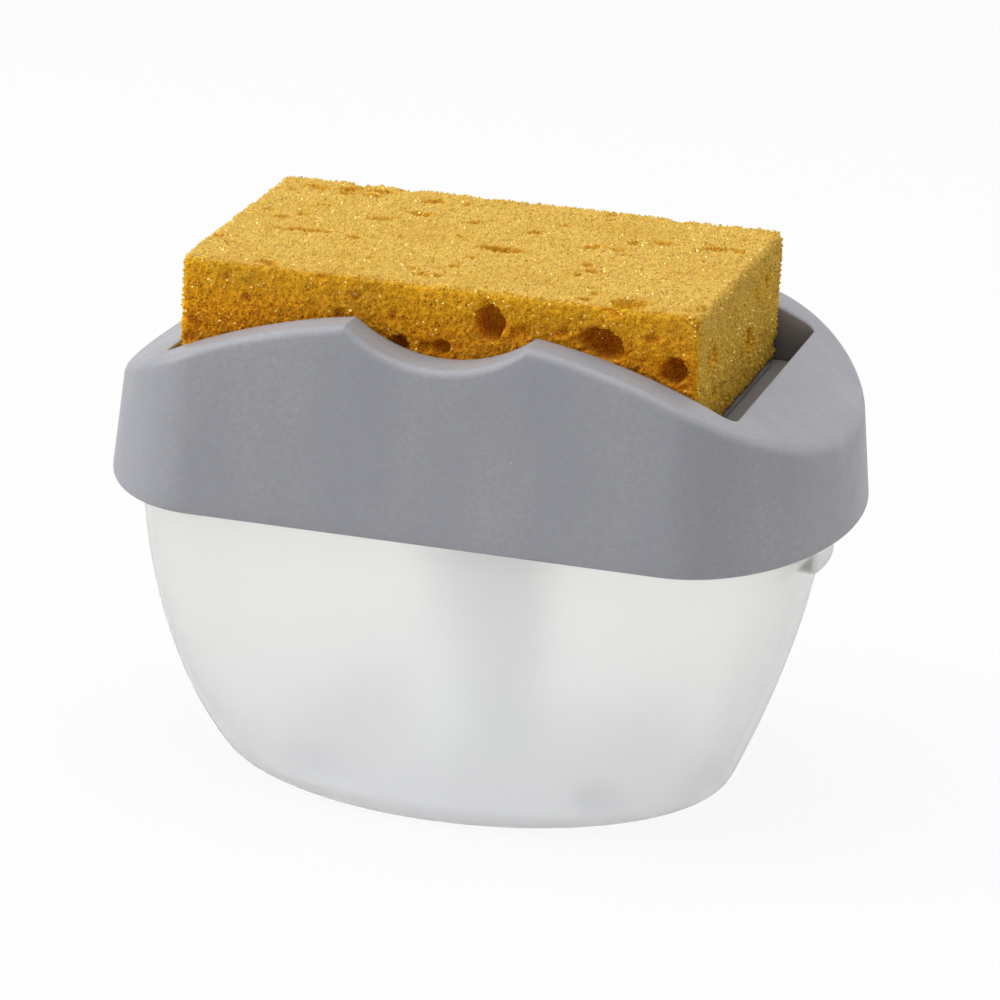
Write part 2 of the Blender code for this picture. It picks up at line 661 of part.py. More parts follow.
def build_cage(material, parent):
    """Inverted cup over the inlet ball, with flow holes, that also carries the return spring."""
    outer = BORE_RADIUS - SEAT_GAP
    foot = VALVE_FLOOR_TOP_Z + SEAT_GAP
    profile = [(outer, CAGE_TOP_Z), (outer, foot), (outer - CAGE_WALL, foot),
               (outer - CAGE_WALL, CAGE_DISC_Z), (CAGE_HOLE_RADIUS, CAGE_DISC_Z),
               (CAGE_HOLE_RADIUS, CAGE_TOP_Z)]
    cage = turned("valve_cage", profile, material, parent)
    turns = [math.pi / 2 * k for k in range(4)]
    places = [(CAGE_HOLE_CIRCLE * math.cos(t), CAGE_HOLE_CIRCLE * math.sin(t)) for t in turns]
    cut(cage, "flow_holes", cylinders("flow_holes", places, CAGE_DISC_Z - CAGE_DISC, CAGE_TOP_Z + CAGE_DISC,
                                      CAGE_HOLE_RADIUS, CAGE_HOLE_STEPS))


def build_guide(material, parent):
    """Cap of the cylinder whose long plug guides the stem and stops the piston at the top."""
    plug = BORE_RADIUS - SEAT_GAP
    bore = STEM_RADIUS + RUNNING_GAP
    pocket = bore + WIPER_WALL + SEAT_GAP
    plug_low = GUIDE_FLANGE_Z - GUIDE_LENGTH
    pocket_z = GUIDE_TOP_Z - WIPER_POCKET
    profile = [(FLANGE_RADIUS, GUIDE_TOP_Z), (FLANGE_RADIUS, GUIDE_FLANGE_Z), (plug, GUIDE_FLANGE_Z),
               (plug, plug_low), (bore, plug_low), (bore, pocket_z), (pocket, pocket_z),
               (pocket, GUIDE_TOP_Z)]
    turned("stem_guide", profile, material, parent)


def build_wiper(material, parent):
    inner = STEM_RADIUS + RUNNING_GAP
    low = GUIDE_TOP_Z - WIPER_POCKET + SEAT_GAP
    turned_ring("stem_wiper", inner + WIPER_WALL, inner, low, low + WIPER_THICKNESS, material, parent)


def build_nut(material, parent):
    """Cap nut on the spigot that clamps the cylinder's flange, the gasket and the stem guide."""
    inner = SPIGOT_RADIUS + RUNNING_GAP
    outer = inner + NUT_WALL
    lip = CYLINDER_RADIUS + RUNNING_GAP
    top = NUT_BOTTOM_Z + NUT_HEIGHT
    profile = [(outer, top), (outer, NUT_BOTTOM_Z), (lip, NUT_BOTTOM_Z), (lip, NUT_LIP_TOP_Z),
               (inner, NUT_LIP_TOP_Z), (inner, top)]
    nut = turned("retaining_nut", profile, material, parent)
    bm = bmesh.new()
    for k in range(NUT_RIBS):
        verts = add_box(bm, (outer - NUT_WALL / 2, -NUT_RIB_WIDTH / 2, NUT_BOTTOM_Z + NUT_RIB_PROUD),
                        (outer + NUT_RIB_PROUD, NUT_RIB_WIDTH / 2, top - NUT_RIB_PROUD))
        turn = Matrix.Rotation(2 * math.pi * k / NUT_RIBS, 4, "Z")
        bmesh.ops.transform(bm, matrix=turn, verts=verts)
    join(nut, "grip_ribs", finish_mesh(bm, "grip_ribs"))


def build_stem(material, parent):
    turned_ring("pump_stem", STEM_RADIUS, STEM_BORE_RADIUS, SOCKET_FLOOR_Z + SEAT_GAP,
                SOCKET_TOP_Z - SEAT_GAP, material, parent)


def build_piston(material, parent):
    """Spool with two rims for its seal, and a hub with the socket for the stem."""
    rim = BORE_RADIUS - 2 * RUNNING_GAP
    core = BORE_RADIUS - SEAL_DEPTH
    hub = STEM_SOCKET_RADIUS + PISTON_HUB_WALL
    profile = [(hub, HUB_TOP_Z), (hub, PISTON_TOP_Z), (rim, PISTON_TOP_Z),
               (rim, PISTON_TOP_Z - PISTON_RIM), (core, PISTON_TOP_Z - PISTON_RIM),
               (core, PISTON_BOTTOM_Z + PISTON_RIM), (rim, PISTON_BOTTOM_Z + PISTON_RIM),
               (rim, PISTON_BOTTOM_Z), (STEM_BORE_RADIUS, PISTON_BOTTOM_Z),
               (STEM_BORE_RADIUS, SOCKET_FLOOR_Z), (STEM_SOCKET_RADIUS, SOCKET_FLOOR_Z),
               (STEM_SOCKET_RADIUS, HUB_TOP_Z)]
    turned("piston", profile, material, parent)


def build_piston_seal(material, parent):
    """Ring with a lip at each end that bears on the cylinder's bore."""
    outer = BORE_RADIUS - RUNNING_GAP
    waist = outer - SEAL_WAIST
    inner = BORE_RADIUS - SEAL_DEPTH + SEAT_GAP
    low = PISTON_BOTTOM_Z + PISTON_RIM + SEAT_GAP
    high = PISTON_TOP_Z - PISTON_RIM - SEAT_GAP
    lip = (high - low) / 4
    profile = [(outer, high), (outer, high - lip), (waist, high - lip - SEAL_WAIST),
               (waist, low + lip + SEAL_WAIST), (outer, low + lip), (outer, low), (inner, low),
               (inner, high)]
    turned("piston_seal", profile, material, parent)


def spring_height(share, low, high):
    """Height along the coil: flat end turns, with an even climb between them."""
    flat = SPRING_END_TURNS / SPRING_TURNS
    end_rise = 2 * SPRING_WIRE_RADIUS + SPRING_END_GAP
    if share < flat:
        return low + end_rise * share / flat
    if share > 1 - flat:
        return high - end_rise * (1 - share) / flat
    return low + end_rise + (high - low - 2 * end_rise) * (share - flat) / (1 - 2 * flat)


def build_spring(material, parent):
    """Compression coil between the cage and the piston."""
    low = CAGE_TOP_Z + SEAT_GAP + SPRING_WIRE_RADIUS
    high = PISTON_BOTTOM_Z - SEAT_GAP - SPRING_WIRE_RADIUS
    steps = round(SPRING_TURNS * SPRING_POINTS_PER_TURN)
    curve = bpy.data.curves.new("return_spring", "CURVE")
    curve.dimensions = "3D"
    curve.bevel_depth = SPRING_WIRE_RADIUS
    curve.bevel_resolution = 1
    curve.use_fill_caps = True
    spline = curve.splines.new("POLY")
    spline.points.add(steps)
    points = []
    for k in range(steps + 1):
        turn = 2 * math.pi * SPRING_TURNS * k / steps
        z = spring_height(k / steps, low, high)
        points.append(Vector((SPRING_RADIUS * math.cos(turn), SPRING_RADIUS * math.sin(turn), z)))
        spline.points[k].co = (*(points[k] - world_origin(parent)), 1.0)
    apart = SPRING_POINTS_PER_TURN // 2
    gaps = [(points[i] - points[j]).length for i in range(steps + 1) for j in range(i + apart, steps + 1)]
    print("least gap between the spring's turns", round(min(gaps) - 2 * SPRING_WIRE_RADIUS, 5))
    curve.materials.append(material)
    spring = bpy.data.objects.new("return_spring", curve)
    PART.objects.link(spring)
    spring.parent = parent


def plate_blank():
    bm = bmesh.new()
    add_box(bm, (-PLATE_HALF_X, -PLATE_HALF_Y, PLATE_BOTTOM_Z), (PLATE_HALF_X, PLATE_HALF_Y, PLATE_TOP_Z))
    upright = [e for e in bm.edges if abs(e.verts[0].co.z - e.verts[1].co.z) > PLATE_THICKNESS / 2]
    bmesh.ops.bevel(bm, geom=upright, offset=PLATE_CORNER, segments=PLATE_CORNER_STEPS, affect="EDGES",
                    profile=0.5)
    return finish_mesh(bm, "press_plate")


def plate_ribs(stations, low_z):
    half_y = PLATE_HALF_Y - PLATE_RIB_SIDE_INSET
    half = PLATE_RIB_WIDTH / 2
    bm = bmesh.new()
    for x in stations:
        add_box(bm, (x - half, -half_y, low_z), (x + half, half_y, RIB_TOP_Z))
    return finish_mesh(bm, "plate_ribs")


def drain_slots(stations):
    """Slots between every second pair of ribs, in a front and a back row."""
    bm = bmesh.new()
    for left, right in list(zip(stations, stations[1:]))[1::2]:
        x = (left + right) / 2
        for y in (-DRAIN_SPREAD / 2, DRAIN_SPREAD / 2):
            add_box(bm, (x - DRAIN_WIDTH / 2, y - DRAIN_LENGTH / 2, PLATE_BOTTOM_Z - PLATE_THICKNESS),
                    (x + DRAIN_WIDTH / 2, y + DRAIN_LENGTH / 2, RIB_TOP_Z + PLATE_THICKNESS))
    return finish_mesh(bm, "drain_slots")


def build_plate(material, parent):
    """Ribbed press plate with the stem's boss, the valve's pocket, four guide pins and drain slots."""
    plate = add_object("press_plate", plate_blank(), material, parent)
    rib_end = PLATE_HALF_X - PLATE_RIB_END_INSET
    stations = spaced(-rib_end, rib_end, PLATE_RIB_COUNT - 1)
    middle_z = (PLATE_BOTTOM_Z + PLATE_TOP_Z) / 2
    centre = [(0.0, 0.0)]
    valve_pocket = VALVE_RADIUS + SEAT_GAP
    join(plate, "plate_ribs", plate_ribs(stations, middle_z))
    join(plate, "valve_hub", cylinders("valve_hub", centre, middle_z, RIB_TOP_Z,
                                       valve_pocket + VALVE_HUB_WALL, TURNED_STEPS))
    join(plate, "stem_boss", cylinders("stem_boss", centre, BOSS_BOTTOM_Z, middle_z, BOSS_RADIUS,
                                       TURNED_STEPS))
    join(plate, "guide_pins", cylinders("guide_pins", PIN_PLACES, PLATE_BOTTOM_Z - PIN_LENGTH, middle_z,
                                        PIN_RADIUS))
    cut(plate, "valve_pocket", cylinders("valve_pocket", centre, VALVE_SEAT_Z, RIB_TOP_Z + PLATE_THICKNESS,
                                         valve_pocket, TURNED_STEPS))
    cut(plate, "stem_socket", cylinders("stem_socket", centre, BOSS_BOTTOM_Z - BOSS_DEPTH, SOCKET_TOP_Z,
                                        STEM_SOCKET_RADIUS, TURNED_STEPS))
    cut(plate, "soap_way", cylinders("soap_way", centre, BOSS_BOTTOM_Z, RIB_TOP_Z, STEM_BORE_RADIUS))
    cut(plate, "drain_slots", drain_slots(stations))


def build_outlet_valve(material, parent):
    """Thin silicone dome with a flange, slit crosswise at its top."""
    low = VALVE_SEAT_Z + SEAT_GAP
    dome_top = VALVE_FLANGE_TOP_Z + VALVE_DOME_RISE
    inner_radius = VALVE_DOME_RADIUS - VALVE_SKIN
    inner_rise = dome_top - VALVE_SKIN - low
    turns = [math.pi / 2 * k / VALVE_DOME_STEPS for k in range(VALVE_DOME_STEPS)]
    outside = [(VALVE_DOME_RADIUS * math.cos(t), VALVE_FLANGE_TOP_Z + VALVE_DOME_RISE * math.sin(t))
               for t in turns]
    inside = [(inner_radius * math.cos(t), low + inner_rise * math.sin(t)) for t in turns]
    profile = [(0.0, dome_top)] + outside[::-1]
    profile += [(VALVE_RADIUS, VALVE_FLANGE_TOP_Z), (VALVE_RADIUS, low)]
    profile += inside + [(0.0, dome_top - VALVE_SKIN)]
    valve = turned("outlet_valve", profile, material, parent, closed=False)
    half = VALVE_SLIT_LENGTH / 2
    thin = VALVE_SLIT_WIDTH / 2
    for name, reach_x, reach_y in (("slit_x", half, thin), ("slit_y", thin, half)):
        bm = bmesh.new()
        add_box(bm, (-reach_x, -reach_y, low), (reach_x, reach_y, dome_top + VALVE_SKIN))
        cut(valve, name, finish_mesh(bm, name))


def build_retainer(material, parent):
    low = VALVE_FLANGE_TOP_Z + SEAT_GAP
    turned_ring("valve_retainer", VALVE_RADIUS, VALVE_DOME_RADIUS + RETAINER_BORE_GAP, low,
                low + RETAINER_THICKNESS, material, parent)


def build_sponge(material, parent):
    """Block of sponge whose left end is cut slightly askew."""
    left = -WELL_LENGTH / 2 + SPONGE_LEFT_GAP
    right = WELL_LENGTH / 2 - SPONGE_RIGHT_GAP
    half_y = WELL_DEPTH / 2 - SPONGE_SIDE_GAP
    bm = bmesh.new()
    add_box(bm, (left, -half_y, SPONGE_BOTTOM_Z), (right, half_y, SPONGE_BOTTOM_Z + SPONGE_HEIGHT))
    for vert in bm.verts:
        if vert.co.x < 0:
            vert.co.x -= SPONGE_SKEW / 2 * math.copysign(1.0, vert.co.y)
    bmesh.ops.bevel(bm, geom=list(bm.edges), offset=SPONGE_ROUNDING, segments=SPONGE_ROUNDING_STEPS,
                    affect="EDGES", profile=0.5)
    add_object("sponge", finish_mesh(bm, "sponge"), material, parent, smooth_angle=60.0)


clear_scene()
PART = make_collection("soap_dispenser")
CUTTERS = make_collection("cutters")

grey = make_material("holder_grey", (0.29, 0.30, 0.33), 0.55)
frosted = make_material("frosted_clear", (0.86, 0.86, 0.84), 0.45, alpha=0.55)
natural = make_material("natural_plastic", (0.80, 0.80, 0.78), 0.40)
silicone = make_material("clear_silicone", (0.62, 0.63, 0.64), 0.60)
rubber = make_material("dark_rubber", (0.10, 0.10, 0.11), 0.80)
steel = make_material("spring_steel", (0.60, 0.60, 0.62), 0.25, metallic=1.0)
foam = make_material("sponge_foam", (0.68, 0.42, 0.08), 0.95)

holder_axis = make_axis("holder_lift_axis", RESERVOIR_RIM_Z)
press_axis = make_axis("press_axis", PLATE_BOTTOM_Z, holder_axis)
ball_axis = make_axis("ball_axis", BALL_Z, holder_axis)
sponge_axis = make_axis("sponge_axis", SPONGE_BOTTOM_Z, press_axis)

build_reservoir(frosted)
build_feet(silicone)
build_holder(grey, holder_axis)
build_cylinder(natural, holder_axis)
build_guide(natural, holder_axis)
turned_ring("cylinder_gasket", FLANGE_RADIUS, BORE_RADIUS, GASKET_BOTTOM_Z, GASKET_TOP_Z, rubber, holder_axis)
build_wiper(rubber, holder_axis)
build_nut(grey, holder_axis)
build_cage(natural, holder_axis)
build_spring(steel, holder_axis)
build_ball(steel, ball_axis)
build_plate(grey, press_axis)
build_stem(natural, press_axis)
build_piston(natural, press_axis)
build_piston_seal(rubber, press_axis)
build_outlet_valve(silicone, press_axis)
build_retainer(natural, press_axis)
build_sponge(foam, sponge_axis)
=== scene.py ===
"""Looks of the press-down soap dispenser with its sponge holder.

Lengths are in metres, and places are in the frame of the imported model.
"""
import math
import random

import bmesh
import bpy
from mathutils import Matrix, Vector, noise


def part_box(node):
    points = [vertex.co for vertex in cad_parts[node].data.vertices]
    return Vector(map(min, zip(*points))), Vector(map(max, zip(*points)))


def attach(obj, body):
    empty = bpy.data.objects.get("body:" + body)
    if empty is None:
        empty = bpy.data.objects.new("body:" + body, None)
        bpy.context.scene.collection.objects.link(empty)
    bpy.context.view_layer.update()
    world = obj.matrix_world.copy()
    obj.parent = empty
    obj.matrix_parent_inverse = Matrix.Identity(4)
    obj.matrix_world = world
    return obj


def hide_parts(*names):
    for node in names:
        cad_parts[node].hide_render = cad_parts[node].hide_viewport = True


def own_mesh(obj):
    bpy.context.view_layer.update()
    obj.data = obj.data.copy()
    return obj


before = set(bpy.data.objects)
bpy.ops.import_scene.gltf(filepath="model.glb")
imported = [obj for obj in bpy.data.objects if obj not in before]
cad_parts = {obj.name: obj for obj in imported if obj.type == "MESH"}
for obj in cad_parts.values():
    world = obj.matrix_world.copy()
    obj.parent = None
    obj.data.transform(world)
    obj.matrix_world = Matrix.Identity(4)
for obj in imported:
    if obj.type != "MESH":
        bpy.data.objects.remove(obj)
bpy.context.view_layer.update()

# Holder
HOLDER_LENGTH = 0.1700
HOLDER_DEPTH = 0.1090
HOLDER_STRAIGHT = 0.1060
HOLDER_RIM_Z = 0.0678
CROWN_Z = 0.1142
ARCH_RADIUS = 0.1466
END_DRAFT = 0.106
SIDE_DRAFT = 0.120
HOLDER_WALL = 0.0025
TOP_THICKNESS = 0.0026
TOP_ROUNDING = 0.0020
RIM_ROUNDING = 0.0006
NOTCH_WIDTH = 0.0406
NOTCH_DEPTH = 0.0070

# Well in the holder
WELL_LENGTH = 0.1285
WELL_DEPTH = 0.0787
WELL_FILLET = 0.0030
WELL_WALL = 0.0024
WELL_EDGE = 0.0008
DECK_FILLET = 0.0015
DECK_BOTTOM_Z = 0.0733
DECK_TOP_Z = 0.0758
DECK_HOLE_RADIUS = 0.0092
SPIGOT_RADIUS = 0.0200
SPIGOT_WALL = 0.0027
SPIGOT_FOOT_Z = 0.0659
RIB_THICKNESS = 0.0018
RIB_SIDE_SPREAD = 0.0800
RIB_END_SPREAD = 0.0440
RIB_TOOTH_DEPTH = 0.0035
RIB_TOOTH_GAP = 0.0006
PIN_X = 0.05005
PIN_Y = 0.02795
PIN_BORE_RADIUS = 0.0025
GUIDE_TUBE_WALL = 0.0017
GUIDE_TUBE_DEPTH = 0.0073
# Height below the well's edge over which the painted shade on its wall grows to full
WELL_SHADE_FADE = 0.0070

# Reservoir
RESERVOIR_BOTTOM_Z = 0.0005
RESERVOIR_HEIGHT = 0.0725
RESERVOIR_RIM_Z = RESERVOIR_BOTTOM_Z + RESERVOIR_HEIGHT
RESERVOIR_WALL = 0.0024
RESERVOIR_FLOOR = 0.0026
FLOOR_TOP_Z = RESERVOIR_BOTTOM_Z + RESERVOIR_FLOOR
LIP_ROUNDING = RESERVOIR_WALL / 4
BASE_LENGTH = 0.1168
BASE_DEPTH = 0.0936
BASE_SQUARENESS = 2.0
BASE_ROUNDING = 0.0030
MOUTH_LENGTH = 0.1482
MOUTH_DEPTH = 0.0994
MOUTH_SQUARENESS = 4.5
TAB_PROUD = 0.0045
TAB_WIDTH = 0.0180
TAB_HEIGHT = 0.0130
TAB_DROP = 0.0030
TAB_TOP_Z = RESERVOIR_RIM_Z - TAB_DROP
TAB_SAG = 0.0006
TAB_CORNER = 0.0012
TAB_EDGE = 0.0008
FOOT_RADIUS = 0.0060
FOOT_RECESS = 0.0012
FOOT_GAP = 0.0003
FOOT_X = 0.0340
FOOT_Y = 0.0210

# Return spring of the pump
SPRING_WIRE_RADIUS = 0.00055
SPRING_TURNS = 6.5
SPRING_END_TURNS = 0.75
SPRING_END_RISE = 0.0017

# Fineness of the moulded forms
NOTCH_STEPS = 18
SIDE_STEPS = 16
CORNER_STEPS = 44
CORNER_PASSES = 5
WELL_FILLET_STEPS = 8
ROUNDING_STEPS = 7
EDGE_STEPS = 4
LIP_STEPS = 3
WALL_LEVELS = 10
TOP_LEVELS = 4
HULL_STEPS = 288
HULL_LEVELS = 36
TAB_BOW_STEPS = 8
BORE_STEPS = 48
SPRING_STEPS = 28
WIRE_STEPS = 12
# Margin for telling one surface of a mesh from the next
MARGIN = 0.0003
# Angle above which an edge is sharp
SHARP_ANGLE = 35.0


# Building blocks


def arc_shares(steps):
    """Pairs of (1 - cos, 1 - sin) that step through a quarter turn."""
    turns = [math.pi / 2 * k / steps for k in range(steps + 1)]
    return [(1 - math.cos(t), 1 - math.sin(t)) for t in turns]


def spaced(start, end, steps):
    return [start + (end - start) * k / steps for k in range(steps + 1)]


def part_way(first, second, share):
    """The point at a share of the way from one point to another."""
    return tuple(a + (b - a) * share for a, b in zip(first, second))


def between(lower, upper, levels):
    """Rings in equal steps between two rings, without the two themselves."""
    rings = []
    for k in range(1, levels):
        rings.append([part_way(p, q, k / levels) for p, q in zip(lower, upper)])
    return rings


def four_places(x, y):
    return [(sx * x, sy * y) for sx in (-1, 1) for sy in (-1, 1)]


def full_ring(quarter):
    """Mirrors the quarter from the middle of the front to the middle of the right end."""
    right = quarter + [(x, -y) for x, y in reversed(quarter[:-1])]
    return right + [(-x, y) for x, y in reversed(right[1:-1])]


def lifted(quarter, z_of):
    return [(x, y, z_of(x)) for x, y in full_ring(quarter)]


def level(z):
    return lambda x: z


def circle(radius, z, count):
    turns = [2 * math.pi * k / count - math.pi / 2 for k in range(count)]
    return [(radius * math.cos(t), radius * math.sin(t), z) for t in turns]


def mesh_of(bm, name):
    mesh = bpy.data.meshes.new(name)
    bm.to_mesh(mesh)
    bm.free()
    return mesh


def outward(mesh):
    """Turns the faces' normals outward."""
    bm = bmesh.new()
    bm.from_mesh(mesh)
    bmesh.ops.recalc_face_normals(bm, faces=bm.faces)
    bm.to_mesh(mesh)
    bm.free()
    return mesh


def ring_mesh(name, rings, closed):
    """Skins rings of equally many points, closed on themselves or capped at both ends."""
    count = len(rings[0])
    verts = [point for ring in rings for point in ring]
    faces = []
    last = len(rings) if closed else len(rings) - 1
    for r in range(last):
        a = r * count
        b = (r + 1) % len(rings) * count
        for k in range(count):
            n = (k + 1) % count
            faces.append((a + k, a + n, b + n, b + k))
    if not closed:
        faces.append(tuple(range(count)))
        faces.append(tuple(range(len(verts) - count, len(verts))))
    mesh = bpy.data.meshes.new(name)
    mesh.from_pydata(verts, [], faces)
    return outward(mesh)


def joined_rings_mesh(lists_of_rings):
    """One mesh of several capped solids."""
    bm = bmesh.new()
    for rings in lists_of_rings:
        part = ring_mesh("part", rings, closed=False)
        bm.from_mesh(part)
        bpy.data.meshes.remove(part)
    return mesh_of(bm, "solids")


def cylinder_mesh(places, low_z, high_z, radius):
    """One mesh of upright cylinders at the (x, y) places."""
    bm = bmesh.new()
    for x, y in places:
        matrix = Matrix.Translation((x, y, (low_z + high_z) / 2))
        bmesh.ops.create_cone(bm, cap_ends=True, segments=BORE_STEPS, radius1=radius,
                              radius2=radius, depth=high_z - low_z, matrix=matrix)
    return outward(mesh_of(bm, "cylinders"))


def add_object(name, data):
    obj = bpy.data.objects.new(name, data)
    bpy.context.scene.collection.objects.link(obj)
    return obj


def add_piece(name, mesh, body, material, sharp_angle=SHARP_ANGLE):
    piece = add_object(name, mesh)
    mesh.materials.clear()
    mesh.materials.append(material)
    mesh.shade_smooth()
    mesh.set_sharp_from_angle(angle=math.radians(sharp_angle))
    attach(piece, body)
    return piece


def add_attribute(mesh, name, values):
    mesh.attributes.new(name, "FLOAT", "POINT").data.foreach_set("value", values)


def carved(mesh, tools):
    """Applies exact Booleans with (operation, mesh) pairs and returns the new mesh."""
    blank = add_object("blank", mesh)
    helpers = []
    for operation, tool_mesh in tools:
        tool = add_object("tool", tool_mesh)
        modifier = blank.modifiers.new("carve", "BOOLEAN")
        modifier.operation = operation
        modifier.solver = "EXACT"
        modifier.object = tool
        helpers.append(tool)
    depsgraph = bpy.context.evaluated_depsgraph_get()
    result = bpy.data.meshes.new_from_object(blank.evaluated_get(depsgraph))
    for helper in helpers + [blank]:
        bpy.data.objects.remove(helper)
    return result


# Shapes of the holder


def arch_z(x):
    return CROWN_Z - ARCH_RADIUS + math.sqrt(ARCH_RADIUS ** 2 - x ** 2)


def top_z(x):
    """Height of the holder's top: the arch, with the round finger notch in its middle."""
    half = NOTCH_WIDTH / 2
    if abs(x) >= half:
        return arch_z(x)
    radius = (half ** 2 + NOTCH_DEPTH ** 2) / (2 * NOTCH_DEPTH)
    return arch_z(half) - NOTCH_DEPTH + radius - math.sqrt(radius ** 2 - x ** 2)


def below_top(drop):
    return lambda x: top_z(x) - drop


def notch_stations():
    turns = [math.pi / 2 * k / NOTCH_STEPS for k in range(NOTCH_STEPS)]
    return [NOTCH_WIDTH / 2 * math.sin(turn) for turn in turns]


def holder_half_sizes(z, inset):
    rise = z - HOLDER_RIM_Z
    half_x = HOLDER_LENGTH / 2 - END_DRAFT * rise - inset
    half_y = HOLDER_DEPTH / 2 - SIDE_DRAFT * rise - inset
    return half_x, half_y


def holder_quarter(inset, z_of):
    """A quarter of the drafted outline, with each corner point settled at its own height."""
    straight = HOLDER_STRAIGHT / 2
    stations = notch_stations() + spaced(NOTCH_WIDTH / 2, straight, SIDE_STEPS)
    points = [(x, -holder_half_sizes(z_of(x), inset)[1]) for x in stations]
    for k in range(1, CORNER_STEPS + 1):
        turn = math.pi / 2 * (1 - k / CORNER_STEPS)
        x = straight
        for _ in range(CORNER_PASSES):
            half_x, half_y = holder_half_sizes(z_of(x), inset)
            x = straight + (half_x - straight) * math.cos(turn)
        points.append((x, -half_y * math.sin(turn)))
    return points


def well_quarter(offset):
    """A quarter of the well's outline, with as many points as the holder's."""
    half_x = WELL_LENGTH / 2 + offset
    half_y = WELL_DEPTH / 2 + offset
    fillet = WELL_FILLET + offset
    side_steps = CORNER_STEPS // 2
    front_steps = SIDE_STEPS + CORNER_STEPS - side_steps - WELL_FILLET_STEPS
    stations = notch_stations() + spaced(NOTCH_WIDTH / 2, half_x - fillet, front_steps)
    points = [(x, -half_y) for x in stations]
    for short, run in arc_shares(WELL_FILLET_STEPS)[1:]:
        points.append((half_x - fillet * run, -half_y + fillet * short))
    points += [(half_x, y) for y in spaced(-half_y + fillet, 0.0, side_steps)[1:]]
    return points


def holder_rings():
    """Rings up the outer wall, over the top, down the well, round the spigot and back inside."""
    rim = level(HOLDER_RIM_Z)
    rings = []
    for rise, inward in arc_shares(EDGE_STEPS):
        z_of = level(HOLDER_RIM_Z + RIM_ROUNDING * rise)
        rings.append(lifted(holder_quarter(RIM_ROUNDING * inward, z_of), z_of))
    start = below_top(TOP_ROUNDING)
    top_start = lifted(holder_quarter(0.0, start), start)
    rings += between(rings[-1], top_start, WALL_LEVELS)
    for inward, drop in arc_shares(ROUNDING_STEPS):
        z_of = below_top(TOP_ROUNDING * drop)
        rings.append(lifted(holder_quarter(TOP_ROUNDING * inward, z_of), z_of))
    outer = full_ring(holder_quarter(TOP_ROUNDING, top_z))
    inner = full_ring(well_quarter(WELL_EDGE))
    for plan in between(outer, inner, TOP_LEVELS):
        rings.append([(x, y, top_z(x)) for x, y in plan])
    for drop, outward_share in arc_shares(EDGE_STEPS):
        edge = well_quarter(WELL_EDGE * outward_share)
        rings.append(lifted(edge, below_top(WELL_EDGE * drop)))
    well_foot = lifted(well_quarter(0.0), level(DECK_TOP_Z + DECK_FILLET))
    rings += between(rings[-1], well_foot, WALL_LEVELS)
    for inward, rise in arc_shares(EDGE_STEPS):
        fillet = well_quarter(-DECK_FILLET * inward)
        rings.append(lifted(fillet, level(DECK_TOP_Z + DECK_FILLET * rise)))
    spigot_bore = SPIGOT_RADIUS - SPIGOT_WALL
    for radius, z in ((DECK_HOLE_RADIUS, DECK_TOP_Z), (DECK_HOLE_RADIUS, DECK_BOTTOM_Z),
                      (spigot_bore, DECK_BOTTOM_Z), (spigot_bore, SPIGOT_FOOT_Z),
                      (SPIGOT_RADIUS, SPIGOT_FOOT_Z), (SPIGOT_RADIUS, DECK_BOTTOM_Z)):
        rings.append(circle(radius, z, len(outer)))
    rings.append(lifted(well_quarter(WELL_WALL), level(DECK_BOTTOM_Z)))
    under_top = below_top(TOP_THICKNESS)
    rings.append(lifted(well_quarter(WELL_WALL), under_top))
    rings.append(lifted(holder_quarter(HOLDER_WALL, under_top), under_top))
    rings.append(lifted(holder_quarter(HOLDER_WALL, rim), rim))
    return rings


def mid_wall_x(y, z):
    half_x, half_y = holder_half_sizes(z, HOLDER_WALL / 2)
    straight = HOLDER_STRAIGHT / 2
    return straight + (half_x - straight) * math.sqrt(1 - (y / half_y) ** 2)


def mid_wall_y(z):
    return holder_half_sizes(z, HOLDER_WALL / 2)[1]


def rib_outline(inner, inner_top, outer_top, outer, tooth):
    """A rib's outline as (reach, z), where outer gives the reach at a height."""
    tooth_z = DECK_BOTTOM_Z - RIB_TOOTH_DEPTH
    return [(inner, inner_top), (outer(outer_top), outer_top),
            (outer(DECK_BOTTOM_Z), DECK_BOTTOM_Z), (tooth, DECK_BOTTOM_Z),
            (tooth, tooth_z), (inner, tooth_z)]


def tooth_reach(across, along, place, power):
    """How far a tooth reaches inside the mouth at a place along it."""
    return across * (1 - (place / along) ** power) ** (1 / power) - RIB_TOOTH_GAP


def seat_ribs():
    """Eight ribs between the outer wall and the well, which sit on the reservoir's mouth."""
    half = RIB_THICKNESS / 2
    into_top = TOP_THICKNESS / 2
    into_wall = WELL_WALL / 2
    mouth_x, mouth_y, power = reservoir_plan(DECK_BOTTOM_Z - RIB_TOOTH_DEPTH, RESERVOIR_WALL)
    side_x = RIB_SIDE_SPREAD / 2
    side_top = arch_z(side_x + half) - into_top
    side_tooth = tooth_reach(mouth_y, mouth_x, side_x + half, power)
    side = rib_outline(WELL_DEPTH / 2 + into_wall, side_top, side_top, mid_wall_y, side_tooth)
    end_y = RIB_END_SPREAD / 2
    inner_x = WELL_LENGTH / 2 + into_wall
    outer_top = arch_z(mid_wall_x(end_y, arch_z(inner_x))) - into_top
    end_tooth = tooth_reach(mouth_x, mouth_y, end_y + half, power)
    end = rib_outline(inner_x, arch_z(inner_x) - into_top, outer_top,
                      lambda z: mid_wall_x(end_y, z), end_tooth)
    solids = []
    for sx, sy in four_places(1, 1):
        solids.append([[(sx * side_x + t, sy * reach, z) for reach, z in side]
                       for t in (-half, half)])
        solids.append([[(sx * reach, sy * end_y + t, z) for reach, z in end]
                       for t in (-half, half)])
    return joined_rings_mesh(solids)


